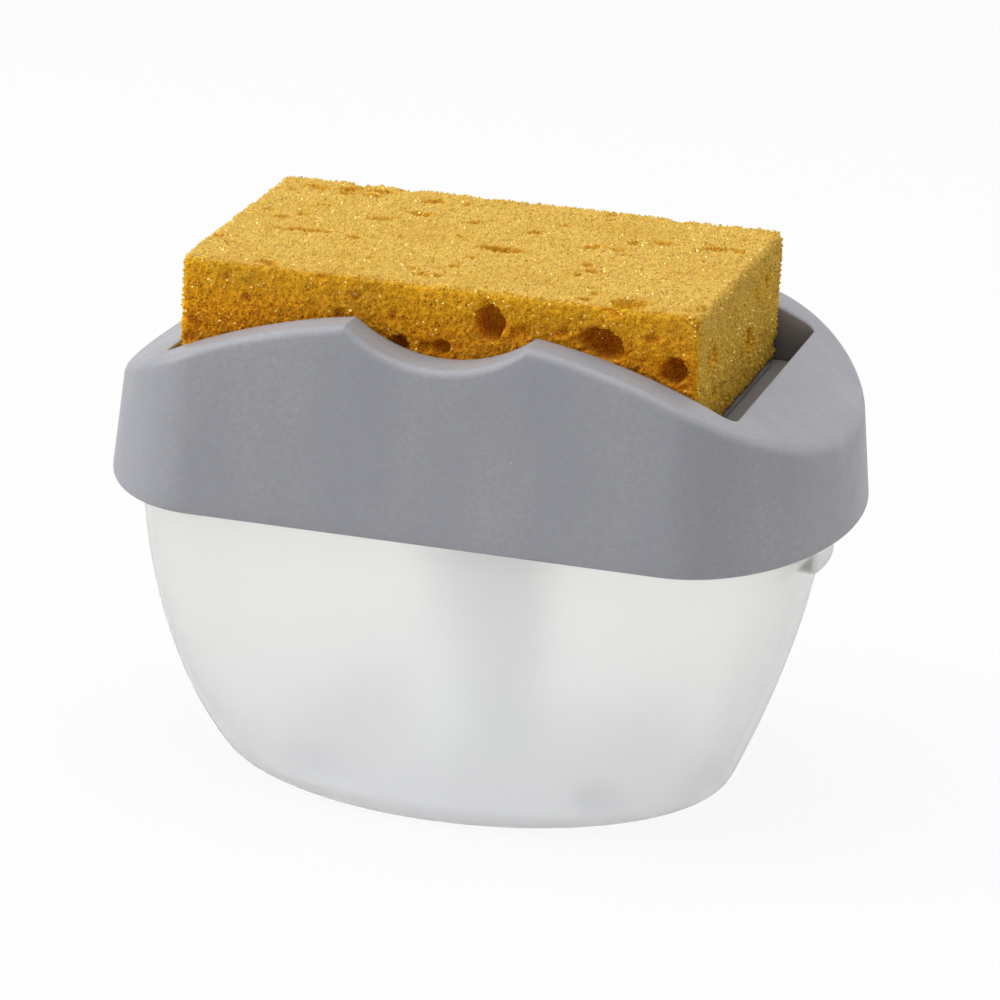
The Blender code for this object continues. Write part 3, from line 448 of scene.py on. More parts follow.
def well_painted_shade(point):
    """Painted shade: 0 outside the well and at its edge, and 1 from a few millimetres below it."""
    x, y, z = point
    beyond = max(abs(x) - WELL_LENGTH / 2, abs(y) - WELL_DEPTH / 2)
    if beyond > WELL_EDGE / 2 or z < DECK_BOTTOM_Z + MARGIN:
        return 0.0
    return max(0.0, min(1.0, (top_z(x) - WELL_EDGE - z) / WELL_SHADE_FADE))


def build_holder(material):
    """The collar, whose "well" attribute tells its material where to paint shade in the well."""
    places = four_places(PIN_X, PIN_Y)
    tube_low = DECK_BOTTOM_Z - GUIDE_TUBE_DEPTH
    middle = (DECK_BOTTOM_Z + DECK_TOP_Z) / 2
    tubes = cylinder_mesh(places, tube_low, middle, PIN_BORE_RADIUS + GUIDE_TUBE_WALL)
    bores = cylinder_mesh(places, tube_low - WELL_WALL, DECK_TOP_Z + WELL_WALL, PIN_BORE_RADIUS)
    mesh = carved(ring_mesh("holder", holder_rings(), closed=True),
                  [("UNION", seat_ribs()), ("UNION", tubes), ("DIFFERENCE", bores)])
    mesh.name = "holder_moulding"
    add_attribute(mesh, "well", [well_painted_shade(vertex.co) for vertex in mesh.vertices])
    piece = add_piece("holder_moulding", mesh, "holder", material)
    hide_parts("holder_collar")


# Shapes of the reservoir


def reservoir_plan(z, inset):
    """Half length, half depth and squareness of the reservoir's section at a height."""
    share = 1 - (1 - (z - RESERVOIR_BOTTOM_Z) / RESERVOIR_HEIGHT) ** 2
    half_x = (BASE_LENGTH + (MOUTH_LENGTH - BASE_LENGTH) * share) / 2 - inset
    half_y = (BASE_DEPTH + (MOUTH_DEPTH - BASE_DEPTH) * share) / 2 - inset
    return half_x, half_y, BASE_SQUARENESS + (MOUTH_SQUARENESS - BASE_SQUARENESS) * share


def reservoir_ring(z, inset):
    half_x, half_y, power = reservoir_plan(z, inset)
    ring = []
    for k in range(HULL_STEPS):
        turn = 2 * math.pi * k / HULL_STEPS
        c, s = math.cos(turn), math.sin(turn)
        x = half_x * math.copysign(abs(c) ** (2 / power), c)
        y = half_y * math.copysign(abs(s) ** (2 / power), s)
        ring.append((x, y, z))
    return ring


def reservoir_rings():
    """Rings up the outside, over the lip and down the inside."""
    base = arc_shares(ROUNDING_STEPS)
    lip = arc_shares(LIP_STEPS)
    lip_z = RESERVOIR_RIM_Z - LIP_ROUNDING
    low = RESERVOIR_BOTTOM_Z + BASE_ROUNDING
    inner_low = FLOOR_TOP_Z + BASE_ROUNDING
    places = [(RESERVOIR_BOTTOM_Z + BASE_ROUNDING * rise, BASE_ROUNDING * inward)
              for rise, inward in base[:-1]]
    places += [(z, 0.0) for z in spaced(low, lip_z, HULL_LEVELS)]
    places += [(RESERVOIR_RIM_Z - LIP_ROUNDING * drop, LIP_ROUNDING * inward)
               for inward, drop in lip[1:]]
    places += [(RESERVOIR_RIM_Z - LIP_ROUNDING * drop, RESERVOIR_WALL - LIP_ROUNDING * inward)
               for inward, drop in lip[::-1]]
    places += [(z, RESERVOIR_WALL) for z in spaced(lip_z, inner_low, HULL_LEVELS)[1:]]
    places += [(FLOOR_TOP_Z + BASE_ROUNDING * rise, RESERVOIR_WALL + BASE_ROUNDING * inward)
               for inward, rise in base[1:]]
    return [reservoir_ring(z, inset) for z, inset in places]


def end_tabs():
    """The two tabs under the collar, rounded at their lower edge and upright corners."""
    bottom_z = TAB_TOP_Z - TAB_HEIGHT
    inner = reservoir_plan(bottom_z, RESERVOIR_WALL / 2)[0]
    outer = MOUTH_LENGTH / 2 + TAB_PROUD
    half = TAB_WIDTH / 2
    levels = [(bottom_z + TAB_EDGE * rise, TAB_EDGE * inward)
              for rise, inward in arc_shares(EDGE_STEPS)]
    levels.append((TAB_TOP_Z, 0.0))
    solids = []
    for side in (-1, 1):
        rings = []
        for z, inset in levels:
            face = outer - inset
            edge = half - inset
            bow = edge - TAB_CORNER
            plan = [(inner, -edge)]
            plan += [(face - TAB_SAG - TAB_CORNER * run, -edge + TAB_CORNER * short)
                     for short, run in arc_shares(ROUNDING_STEPS)]
            plan += [(face - TAB_SAG * (y / bow) ** 2, y)
                     for y in spaced(-bow, 0.0, TAB_BOW_STEPS)[1:]]
            plan += [(x, -y) for x, y in reversed(plan[:-1])]
            rings.append([(side * x, y, z) for x, y in plan])
        solids.append(rings)
    return joined_rings_mesh(solids)


def build_reservoir(material, thick_material):
    """The cup, whose solid tabs scatter more light than its thin wall."""
    recesses = cylinder_mesh(four_places(FOOT_X, FOOT_Y), -FOOT_RECESS,
                             RESERVOIR_BOTTOM_Z + FOOT_RECESS, FOOT_RADIUS + FOOT_GAP)
    mesh = carved(ring_mesh("reservoir", reservoir_rings(), closed=False),
                  [("UNION", end_tabs()), ("DIFFERENCE", recesses)])
    mesh.name = "reservoir_cup"
    piece = add_piece("reservoir_cup", mesh, "base", material)
    mesh.materials.append(thick_material)
    tab_x = MOUTH_LENGTH / 2 + MARGIN
    tab_y = TAB_WIDTH / 2 + MARGIN
    for polygon in mesh.polygons:
        if abs(polygon.center.x) > tab_x and abs(polygon.center.y) < tab_y:
            polygon.material_index = 1
    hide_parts("reservoir")


# Return spring


def spring_height(share, low, high):
    """Height along the coil: close end turns, with an even climb between them."""
    ends = SPRING_END_TURNS / SPRING_TURNS
    if share < ends:
        return low + SPRING_END_RISE * share / ends
    if share > 1 - ends:
        return high - SPRING_END_RISE * (1 - share) / ends
    climb = high - low - 2 * SPRING_END_RISE
    return low + SPRING_END_RISE + climb * (share - ends) / (1 - 2 * ends)


def build_spring(material):
    """The coil between the valve cage and the piston, which flattens as the plate is pressed."""
    low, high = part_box("return_spring")
    radius = high[0] - SPRING_WIRE_RADIUS
    foot_z = low[2] + SPRING_WIRE_RADIUS
    head_z = high[2] - SPRING_WIRE_RADIUS
    steps = round(SPRING_TURNS * SPRING_STEPS)
    rings = []
    for k in range(steps + 1):
        turn = 2 * math.pi * SPRING_TURNS * k / steps
        height = spring_height(k / steps, foot_z, head_z)
        ring = []
        for n in range(WIRE_STEPS):
            around = 2 * math.pi * n / WIRE_STEPS
            reach = radius + SPRING_WIRE_RADIUS * math.cos(around)
            rise = SPRING_WIRE_RADIUS * math.sin(around)
            ring.append((reach * math.cos(turn), reach * math.sin(turn), height + rise))
        rings.append(ring)
    mesh = ring_mesh("return_coil", rings, closed=False)
    piece = add_piece("return_coil", mesh, "holder", material)
    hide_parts("return_spring")
    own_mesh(piece)


# Sponge: a closed grid of points on the block's six faces, pushed in by its cells and pits

SPONGE_ROUNDING = 0.0015
# How far the left end is skewed, and how much fuller it is than the solid's
SPONGE_SKEW = 0.0026
SPONGE_LEFT_SWELL = 0.0005
GRID = 0.00036
GRID_JITTER = 0.3
GRID_SEED = 11

# The foam's cells: their size, how far they are pushed in, how far from an edge one is fully
# open, the least that one is pushed in as a share of the most, and a factor that sets their
# centres far enough apart for each cell to draw its own share
CELL = 0.00090
CELL_DEPTH = 0.00026
CELL_OPENING = 0.42
CELL_LEAST = 0.35
CELL_SPREAD = 37.0
# Single struts that stand out: how far, the share of points that has one, and how far the
# points without one lie in, as a share of that reach
STRUT_REACH = 0.0007
STRUT_SHARE = 0.3
STRUT_LEVEL = 0.2
# Heights and scales of the cut faces' waves
WAVES = [(0.00030, 55.0), (0.00016, 320.0)]

FACES = {"top": (2, 1), "bottom": (2, -1), "front": (1, -1), "back": (1, 1),
         "left": (0, -1), "right": (0, 1)}
# The larger pits: face, its two places, two half widths, turn in degrees and depth, in mm
PITS = [
    ("top", -44.1, -6.8, 7.0, 1.3, 8.0, 1.6),
    ("top", -46.0, 15.5, 1.6, 1.0, 0.0, 1.1),
    ("top", -38.1, 28.1, 2.6, 1.1, -20.0, 1.2),
    ("top", -10.7, 15.5, 2.4, 1.5, 30.0, 1.3),
    ("top", 1.5, -4.1, 5.2, 2.4, 0.0, 2.6),
    ("top", 19.2, 5.9, 1.5, 1.7, 0.0, 1.3),
    ("top", 24.9, -13.2, 3.2, 1.2, 10.0, 1.4),
    ("top", 45.4, 16.3, 3.4, 1.8, 25.0, 1.4),
    ("top", -8.7, -31.3, 1.6, 1.8, 0.0, 1.2),
    ("top", 38.9, -34.4, 4.2, 3.4, 20.0, 1.8),
    ("front", 9.3, 114.4, 3.1, 4.2, 15.0, 6.0),
    ("front", -11.4, 107.2, 2.6, 1.9, 0.0, 4.0),
    ("front", -1.5, 107.5, 2.2, 1.6, 0.0, 3.5),
    ("front", 34.2, 112.6, 5.4, 3.2, -18.0, 5.5),
    ("front", 50.3, 108.4, 3.0, 3.1, 0.0, 6.0),
    ("front", -26.0, 103.0, 3.4, 2.2, 0.0, 3.6),
    ("front", 22.0, 100.5, 3.0, 2.6, 0.0, 4.0),
    ("right", -28.5, 110.0, 1.4, 4.6, -10.0, 2.2),
    ("right", 8.0, 104.0, 2.4, 2.8, 0.0, 3.6),
    ("right", 24.0, 113.5, 1.8, 2.2, 0.0, 2.8),
    ("left", -18.0, 111.0, 2.6, 2.2, 10.0, 3.2),
    ("left", 10.0, 101.5, 3.2, 2.4, 0.0, 3.8),
    ("left", 27.0, 115.0, 1.7, 1.5, 0.0, 2.2),
    ("back", -38.0, 111.5, 3.3, 2.8, 12.0, 4.8),
    ("back", -14.0, 103.5, 2.4, 2.2, 0.0, 3.6),
    ("back", 12.0, 114.0, 4.4, 2.3, -14.0, 3.8),
    ("back", 36.0, 106.0, 2.8, 3.3, 0.0, 4.6),
    ("bottom", -30.0, 12.0, 4.2, 2.6, 20.0, 3.6),
    ("bottom", 4.0, -16.0, 3.2, 3.4, 0.0, 4.2),
    ("bottom", 33.0, 14.0, 3.8, 2.4, -25.0, 3.4),
]
# Scattered small pits: their number, the faces' shares of them, their half width, their length
# and depth in half widths, and their turn in degrees
SMALL_PITS = 230
SMALL_PIT_SHARES = {"top": 4.0, "bottom": 3.0, "front": 2.6, "back": 2.2,
                    "left": 1.2, "right": 1.2}
SMALL_PIT_WIDTHS = (0.0008, 0.0019)
SMALL_PIT_LENGTHS = (0.7, 1.8)
SMALL_PIT_DEPTHS = (0.35, 0.8)
SMALL_PIT_TURNS = (-40, 40)
SMALL_PIT_SEED = 29
# A pit's form: how ragged its edge is and at what scale, and how round its floor is
PIT_RAGGED = 0.22
PIT_RAGGED_SCALE = 700.0
PIT_POWERS = (3, 0.6)
# How far from a pit's centre it is looked for, in its larger half width
PIT_REACH = 1.5
# How much less the cells are pushed in inside a pit
PIT_SMOOTHING = 0.4

# How deep amber each face is painted, from the pale top to the cut sides, whose amber is
# painted light through the foam and painted shade
AMBER = {(2, 1): 0.0, (2, -1): 0.9, (1, -1): 1.0, (1, 1): 1.0, (0, -1): 0.3, (0, 1): 0.16}
# Its share at the sponge's top, and how much it grows as painted shade to the foot and in a pit
AMBER_TOP = 0.45
AMBER_SHADE_TO_FOOT = 1.3
AMBER_SHADE_IN_PIT = 0.45
# A pit's painted shade: its reach, where 1 is the pit's edge, how fast it starts, its darkness
# on flat and upright faces, and the depth of pit that has all of it
PIT_SHADE_REACH = 1.3
PIT_SHADE_RISE = 1.8
FLAT_PIT_SHADE = 1.9
UPRIGHT_PIT_SHADE = 0.7
PIT_SHADE_DEPTH = 0.0014
# How dark the right end is at its foot
RIGHT_END_SHADE = 0.35


def other_axes(axis):
    return [other for other in range(3) if other != axis]


def box_grid(counts):
    """Numbered points (i, j, k) on the surface of a grid, and its quads."""
    numbers = {}
    keys = []
    nx, ny, nz = counts
    for i in range(nx + 1):
        for j in range(ny + 1):
            if i in (0, nx) or j in (0, ny):
                layers = range(nz + 1)
            else:
                layers = (0, nz)
            for k in layers:
                numbers[i, j, k] = len(keys)
                keys.append((i, j, k))
    faces = []
    for axis in range(3):
        u, v = other_axes(axis)
        for end in (0, counts[axis]):
            for a in range(counts[u]):
                for b in range(counts[v]):
                    quad = []
                    for da, db in ((0, 0), (1, 0), (1, 1), (0, 1)):
                        key = [end, end, end]
                        key[u] = a + da
                        key[v] = b + db
                        quad.append(numbers[tuple(key)])
                    faces.append(quad)
    return keys, faces


def small_pits(low, high):
    """Scattered small pits on all faces, in the form of PITS but in metres."""
    rng = random.Random(SMALL_PIT_SEED)
    names = list(SMALL_PIT_SHARES)
    shares = list(SMALL_PIT_SHARES.values())
    pits = []
    for _ in range(SMALL_PITS):
        face = rng.choices(names, shares)[0]
        u, v = other_axes(FACES[face][0])
        place = (rng.uniform(low[u], high[u]), rng.uniform(low[v], high[v]))
        width = rng.uniform(*SMALL_PIT_WIDTHS)
        length = width * rng.uniform(*SMALL_PIT_LENGTHS)
        turn = rng.uniform(*SMALL_PIT_TURNS)
        depth = width * rng.uniform(*SMALL_PIT_DEPTHS)
        pits.append((face, *place, length, width, turn, depth))
    return pits


def pits_by_face(low, high):
    """All pits in metres, listed by face, with the cosine and sine in place of the turn."""
    pits = {place: [] for place in FACES.values()}
    larger = [(face, *[value / 1000 for value in sizes[:4]], sizes[4], sizes[5] / 1000)
              for face, *sizes in PITS]
    for face, cu, cv, half_u, half_v, turn, deep in larger + small_pits(low, high):
        angle = math.radians(turn)
        pits[FACES[face]].append((cu, cv, half_u, half_v, math.cos(angle), math.sin(angle), deep))
    return pits


def pit_depth(pits, axis, point):
    """How deep the pits of a face reach under a point, and how far inside one it lies."""
    depth = 0.0
    inside = 0.0
    u, v = other_axes(axis)
    for cu, cv, half_u, half_v, c, s, deep in pits:
        du = point[u] - cu
        dv = point[v] - cv
        if max(abs(du), abs(dv)) > PIT_REACH * max(half_u, half_v):
            continue
        a = (du * c + dv * s) / half_u
        b = (dv * c - du * s) / half_v
        ragged = 1.0 + PIT_RAGGED * noise.noise(point * PIT_RAGGED_SCALE)
        radius = math.sqrt(a * a + b * b) * ragged
        if radius < 1.0:
            depth = max(depth, deep * (1.0 - radius ** PIT_POWERS[0]) ** PIT_POWERS[1])
        # A pit is painted darker as shade, out to a little past its edge
        pit_shade = min(1.0, PIT_SHADE_RISE * (PIT_SHADE_REACH - radius))
        inside = max(inside, pit_shade * min(1.0, deep / PIT_SHADE_DEPTH))
    return depth, inside


def cell_pore(point):
    """0 at the edges of the foam's cells, and up to 1 inside them, more in some than others."""
    distances, centres = noise.voronoi(point / CELL)
    open_share = min(1.0, (distances[1] - distances[0]) / CELL_OPENING)
    return open_share * (CELL_LEAST + (1 - CELL_LEAST) * noise.cell(centres[0] * CELL_SPREAD))


def build_sponge(material):
    """The block, whose "pore" and "amber" attributes set its painted shade and amber."""
    low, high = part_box("sponge")
    low = Vector(low)
    high = Vector(high)
    low.x += SPONGE_SKEW / 2 - SPONGE_LEFT_SWELL
    centre = (low + high) / 2
    half = (high - low) / 2
    core = half - Vector((SPONGE_ROUNDING,) * 3)
    counts = [round((high[k] - low[k]) / GRID) for k in range(3)]
    keys, faces = box_grid(counts)
    pits = pits_by_face(low, high)
    rng = random.Random(GRID_SEED)
    verts = []
    pores = []
    ambers = []
    for key in keys:
        place = Vector([-half[n] + 2 * half[n] * key[n] / counts[n] for n in range(3)])
        for n in range(3):
            if 0 < key[n] < counts[n]:
                place[n] += rng.uniform(-GRID_JITTER, GRID_JITTER) * GRID
        kept = Vector([max(-core[n], min(core[n], place[n])) for n in range(3)])
        normal = (place - kept).normalized()
        point = centre + kept + normal * SPONGE_ROUNDING
        axis = max(range(3), key=lambda n: abs(normal[n]))
        side = 1 if normal[axis] > 0 else -1

        deep, inside = pit_depth(pits[axis, side], axis, point)
        pore = cell_pore(point)
        cell = CELL_DEPTH * pore * (1.0 - PIT_SMOOTHING * inside)
        wave = sum(height * noise.noise(point * scale) for height, scale in WAVES)
        strut = max(0.0, 1.0 - rng.random() / STRUT_SHARE)
        inward = STRUT_REACH * (STRUT_LEVEL - strut) + cell + deep - wave
        # Nothing stands out of the underside, which rests on the plate
        if side < 0 and axis == 2:
            inward = max(inward, 0.0)
        point = point - normal * inward
        leftward = max(0.0, -(point.x - centre.x) / half.x)
        point.x -= SPONGE_SKEW / 2 * (point.y / half.y) * leftward
        verts.append(point)

        weights = [component * component for component in normal]
        # Painted light and shade: deeper amber on the cut sides, towards the foot and in pits
        amber = sum(weights[n] * AMBER[n, 1 if normal[n] > 0 else -1] for n in range(3))
        below = (high.z - point.z) / (high.z - low.z)
        amber_with_foot_shade = amber * (AMBER_TOP + AMBER_SHADE_TO_FOOT * below)
        ambers.append(min(1.0, amber_with_foot_shade + AMBER_SHADE_IN_PIT * inside))
        # Painted shade in pits, stronger on flat faces than on upright ones
        pit_shade = FLAT_PIT_SHADE if axis == 2 else UPRIGHT_PIT_SHADE
        shaded = weights[0] * below if normal.x > 0 else 0.0
        pores.append(pore * (1.0 - strut) + pit_shade * inside + RIGHT_END_SHADE * shaded)
    mesh = bpy.data.meshes.new("sponge_block")
    mesh.from_pydata(verts, [], faces)
    add_attribute(mesh, "pore", pores)
    add_attribute(mesh, "amber", ambers)
    outward(mesh)
    piece = add_piece("sponge_block", mesh, "sponge_block", material,
                      sharp_angle=180.0)
    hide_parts("sponge")


# Nodes of the materials


def set_or_link(tree, socket, value):
    """Gives an input a value, or links it to another node's output."""
    if isinstance(value, bpy.types.NodeSocket):
        tree.links.new(value, socket)
    else:
        socket.default_value = value


def add_node(tree, kind, inputs=None, **settings):
    """Adds a node; an input is given by its name and is a value or another node's output."""
    node = tree.nodes.new(kind)
    for key, value in settings.items():
        setattr(node, key, value)
    for key, value in (inputs or {}).items():
        set_or_link(tree, node.inputs[key], value)
    return node


def new_material(name, color, roughness, **principled):
    material = bpy.data.materials.new(name)
    material.use_nodes = True
    tree = material.node_tree
    shader = tree.nodes["Principled BSDF"]
    shader.inputs["Base Color"].default_value = (*color, 1.0)
    shader.inputs["Roughness"].default_value = roughness
    for key, value in principled.items():
        shader.inputs[key.replace("_", " ")].default_value = value
    return material, tree, shader


def connect(tree, shader, **outputs):
    """Links outputs to the shader's inputs of these names."""
    for key, output in outputs.items():
        tree.links.new(output, shader.inputs[key.replace("_", " ")])


def coordinates(tree, scale=(1.0, 1.0, 1.0)):
    place = add_node(tree, "ShaderNodeTexCoord").outputs["Object"]
    inputs = {"Vector": place, "Scale": scale}
    return add_node(tree, "ShaderNodeMapping", inputs).outputs["Vector"]


def attribute(tree, name):
    return add_node(tree, "ShaderNodeAttribute", attribute_name=name).outputs["Fac"]


def channel(tree, color, name):
    return add_node(tree, "ShaderNodeSeparateColor", {"Color": color}).outputs[name]


def noise_value(tree, scale, detail, roughness=0.5, stretch=(1.0, 1.0, 1.0)):
    inputs = {"Vector": coordinates(tree, stretch), "Scale": scale, "Detail": detail,
              "Roughness": roughness}
    return add_node(tree, "ShaderNodeTexNoise", inputs).outputs["Fac"]


def mapped(tree, value, low, high, to_low, to_high):
    inputs = {"Value": value, "From Min": low, "From Max": high, "To Min": to_low,
              "To Max": to_high}
    return add_node(tree, "ShaderNodeMapRange", inputs, clamp=True).outputs["Result"]


def varied(tree, noise_output, to_low, to_high):
    """Spreads the range that most of a noise's values lie in from to_low to to_high."""
    return mapped(tree, noise_output, 0.3, 0.7, to_low, to_high)


def math_node(tree, operation, a, b):
    node = add_node(tree, "ShaderNodeMath", operation=operation)
    for socket, value in zip(node.inputs, (a, b)):
        set_or_link(tree, socket, value)
    return node.outputs["Value"]


def mixed(tree, factor, first, second):
    """Mixes two colours, each given by its three values or by another node's output."""
    node = add_node(tree, "ShaderNodeMix", data_type="RGBA")
    sockets = {socket.identifier: socket for socket in node.inputs}
    set_or_link(tree, sockets["Factor_Float"], factor)
    for name, color in (("A_Color", first), ("B_Color", second)):
        set_or_link(tree, sockets[name], (*color, 1.0) if isinstance(color, tuple) else color)
    return [socket for socket in node.outputs if socket.identifier == "Result_Color"][0]


def bump(tree, height, distance, strength, normal=None):
    inputs = {"Height": height, "Distance": distance, "Strength": strength}
    if normal is not None:
        inputs["Normal"] = normal
    return add_node(tree, "ShaderNodeBump", inputs).outputs["Normal"]


def specks(tree, scale, size, share):
    """1 inside small scattered round specks, of which only a share of the cells has one."""
    inputs = {"Vector": coordinates(tree), "Scale": scale}
    voronoi = add_node(tree, "ShaderNodeTexVoronoi", inputs)
    near = mapped(tree, voronoi.outputs["Distance"], size * 0.6, size, 1.0, 0.0)
    chosen = math_node(tree, "LESS_THAN", channel(tree, voronoi.outputs["Color"], "Red"), share)
    return math_node(tree, "MULTIPLY", near, chosen)


# Materials, with linear colours

GREY = (0.29, 0.30, 0.33)
GREY_CLOUDS = ((0.258, 0.263, 0.294), (0.344, 0.347, 0.371))
GREY_STREAKS = (0.307, 0.312, 0.339)
GREY_MOTTLE = (0.258, 0.263, 0.286)
GREY_SPECKS = (0.43, 0.44, 0.46)
# Grey painted as shade deep in the well and on the press plate
GREY_PAINTED_SHADE = (0.178, 0.170, 0.166)
# How much painted shade the press plate has, under the sponge and deep in the well
PLATE_PAINTED_SHADE = 0.85

FROST = (0.96, 0.96, 0.95)
FROST_FOOT = (0.930, 0.934, 0.942)
FROST_MIDDLE = (0.955, 0.953, 0.943)
FROST_MOUTH = (0.985, 0.980, 0.962)
FROST_FOOT_Z = 0.004
FROST_MIDDLE_Z = 0.034
FROST_MOUTH_Z = 0.062
FROST_DRIFT = 0.004

# Colours of the foam's struts and of its hollows, which are painted darker as shade
FOAM = (0.60, 0.38, 0.08)
FOAM_PALE = ((0.760, 0.482, 0.112), (0.335, 0.167, 0.026))
FOAM_GOLD = ((1.0, 0.560, 0.030), (0.510, 0.222, 0.007))
FOAM_SHADED_AMBER = ((1.0, 0.435, 0.018), (0.420, 0.096, 0.002))
FOAM_CLOUDS = (0.50, 0.26, 0.030)
FOAM_GLINTS = (1.0, 0.81, 0.31)
FOAM_CELLS = 1500.0

STEEL = (0.60, 0.60, 0.62)
STEEL_GRAIN = ((0.52, 0.52, 0.54), (0.70, 0.70, 0.71))


def holder_grey(name, painted_shade=None):
    """Satin grey; a share or, with none given, the mesh's "well" paints shade and dulls it."""
    material, tree, shader = new_material(name, GREY, 0.5)
    clouds = noise_value(tree, scale=40.0, detail=3.0, stretch=(1.0, 1.0, 0.3))
    streaks = noise_value(tree, scale=1.0, detail=2.0, stretch=(230.0, 230.0, 5.0))
    mottle = noise_value(tree, scale=850.0, detail=3.0, roughness=0.7)
    mottle = math_node(tree, "MULTIPLY", varied(tree, mottle, 0.0, 1.0), 0.75)
    color = mixed(tree, varied(tree, clouds, 0.0, 1.0), *GREY_CLOUDS)
    color = mixed(tree, mapped(tree, streaks, 0.35, 0.7, 0.0, 0.5), color, GREY_STREAKS)
    color = mixed(tree, mottle, color, GREY_MOTTLE)
    color = mixed(tree, specks(tree, scale=420.0, size=0.10, share=0.06), color, GREY_SPECKS)
    if painted_shade is None:
        painted_shade = attribute(tree, "well")
    # Darker grey painted as shade
    color = mixed(tree, painted_shade, color, GREY_PAINTED_SHADE)
    rough = varied(tree, noise_value(tree, scale=160.0, detail=4.0), 0.44, 0.56)
    shown = math_node(tree, "SUBTRACT", 1.0, painted_shade)
    streaks = math_node(tree, "MULTIPLY", streaks, shown)
    normal = bump(tree, streaks, distance=0.00005, strength=0.5)
    grain = noise_value(tree, scale=5200.0, detail=2.0)
    normal = bump(tree, grain, distance=0.00001, strength=0.6, normal=normal)
    connect(tree, shader, Base_Color=color, Roughness=rough, Normal=normal)
    return material


def frosted(name, transmission):
    """Milky plastic, creamy near the mouth and greyer towards the foot."""
    material, tree, shader = new_material(name, FROST, 0.5, IOR=1.18,
                                          Transmission_Weight=transmission)
    place = add_node(tree, "ShaderNodeTexCoord").outputs["Object"]
    height = add_node(tree, "ShaderNodeSeparateXYZ", {"Vector": place}).outputs["Z"]
    drift = noise_value(tree, scale=30.0, detail=3.0)
    height = math_node(tree, "ADD", height, varied(tree, drift, -FROST_DRIFT, FROST_DRIFT))
    upper = mapped(tree, height, FROST_MIDDLE_Z, FROST_MOUTH_Z, 0.0, 1.0)
    lower = mapped(tree, height, FROST_FOOT_Z, FROST_MIDDLE_Z, 0.0, 1.0)
    color = mixed(tree, lower, FROST_FOOT, mixed(tree, upper, FROST_MIDDLE, FROST_MOUTH))
    rough = varied(tree, noise_value(tree, scale=220.0, detail=3.0), 0.48, 0.60)
    grain = noise_value(tree, scale=3800.0, detail=2.0)
    normal = bump(tree, grain, distance=0.00002, strength=0.5)
    connect(tree, shader, Base_Color=color, Roughness=rough, Normal=normal)
    return material


def sponge_foam():
    """Pale struts over cells painted dark as shade, gold to shaded amber, with painted glints."""
    material, tree, shader = new_material("sponge_foam", FOAM, 0.7, Subsurface_Weight=0.3,
                                          Subsurface_Scale=0.0035, Specular_IOR_Level=0.03,
                                          Subsurface_Radius=(1.0, 0.5, 0.08))
    pore = attribute(tree, "pore")
    amber = attribute(tree, "amber")
    inputs = {"Vector": coordinates(tree), "Scale": FOAM_CELLS}
    web = add_node(tree, "ShaderNodeTexVoronoi", inputs, feature="DISTANCE_TO_EDGE")
    cells = add_node(tree, "ShaderNodeTexVoronoi", inputs)
    strut = mapped(tree, web.outputs["Distance"], 0.02, 0.20, 1.0, 0.0)
    shade = mapped(tree, channel(tree, cells.outputs["Color"], "Green"), 0.0, 1.0, 0.4, 0.9)
    # The cells' hollows are painted darker as shade, and so are the mesh's pits and right end
    hollow = math_node(tree, "MULTIPLY", math_node(tree, "SUBTRACT", 1.0, strut), shade)
    deep = math_node(tree, "ADD", hollow, math_node(tree, "MULTIPLY", pore, 0.45))
    mottle = varied(tree, noise_value(tree, scale=900.0, detail=2.0), -0.14, 0.14)
    deep = mapped(tree, math_node(tree, "ADD", deep, mottle), 0.0, 1.15, 0.0, 1.0)
    pale = mixed(tree, deep, *FOAM_PALE)
    gold = mixed(tree, deep, *FOAM_GOLD)
    shaded_amber = mixed(tree, deep, *FOAM_SHADED_AMBER)
    # Gold and amber painted as light through the foam and as shade towards the foot
    color = mixed(tree, mapped(tree, amber, 0.0, 0.5, 0.0, 1.0), pale, gold)
    color = mixed(tree, mapped(tree, amber, 0.45, 1.0, 0.0, 1.0), color, shaded_amber)
    clouds = noise_value(tree, scale=60.0, detail=4.0, roughness=0.65)
    color = mixed(tree, mapped(tree, clouds, 0.48, 0.72, 0.0, 0.42), color, FOAM_CLOUDS)
    # Glints painted into the colour as bright specks, which are also metallic and glossy
    glint = specks(tree, scale=1400.0, size=0.42, share=0.055)
    color = mixed(tree, glint, color, FOAM_GLINTS)
    connect(tree, shader, Base_Color=color, Metallic=math_node(tree, "MULTIPLY", glint, 0.8),
            Roughness=mapped(tree, glint, 0.0, 1.0, 0.75, 0.35),
            Normal=bump(tree, hollow, distance=0.00012, strength=1.0))
    return material


def plain_plastic(name, low, high, roughness, **principled):
    """Moulded plastic or rubber: two near colours in soft clouds over a fine grain."""
    material, tree, shader = new_material(name, high, roughness, **principled)
    clouds = noise_value(tree, scale=130.0, detail=3.0)
    color = mixed(tree, mapped(tree, clouds, 0.35, 0.65, 0.0, 1.0), low, high)
    rough = noise_value(tree, scale=500.0, detail=3.0)
    rough = varied(tree, rough, roughness - 0.06, roughness + 0.06)
    grain = noise_value(tree, scale=4200.0, detail=2.0)
    normal = bump(tree, grain, distance=0.00001, strength=0.6)
    connect(tree, shader, Base_Color=color, Roughness=rough, Normal=normal)
    return material


def wire_steel(name, roughness):
    """Steel with a fine grain in its colour and gloss."""
    material, tree, shader = new_material(name, STEEL, roughness, Metallic=1.0)
    grain = noise_value(tree, scale=1.0, detail=3.0, stretch=(9000.0, 9000.0, 9000.0))
    rough = varied(tree, grain, roughness - 0.05, roughness + 0.1)
    normal = bump(tree, grain, distance=0.00001, strength=0.5)
    connect(tree, shader, Base_Color=mixed(tree, grain, *STEEL_GRAIN), Roughness=rough,
            Normal=normal)
    return material


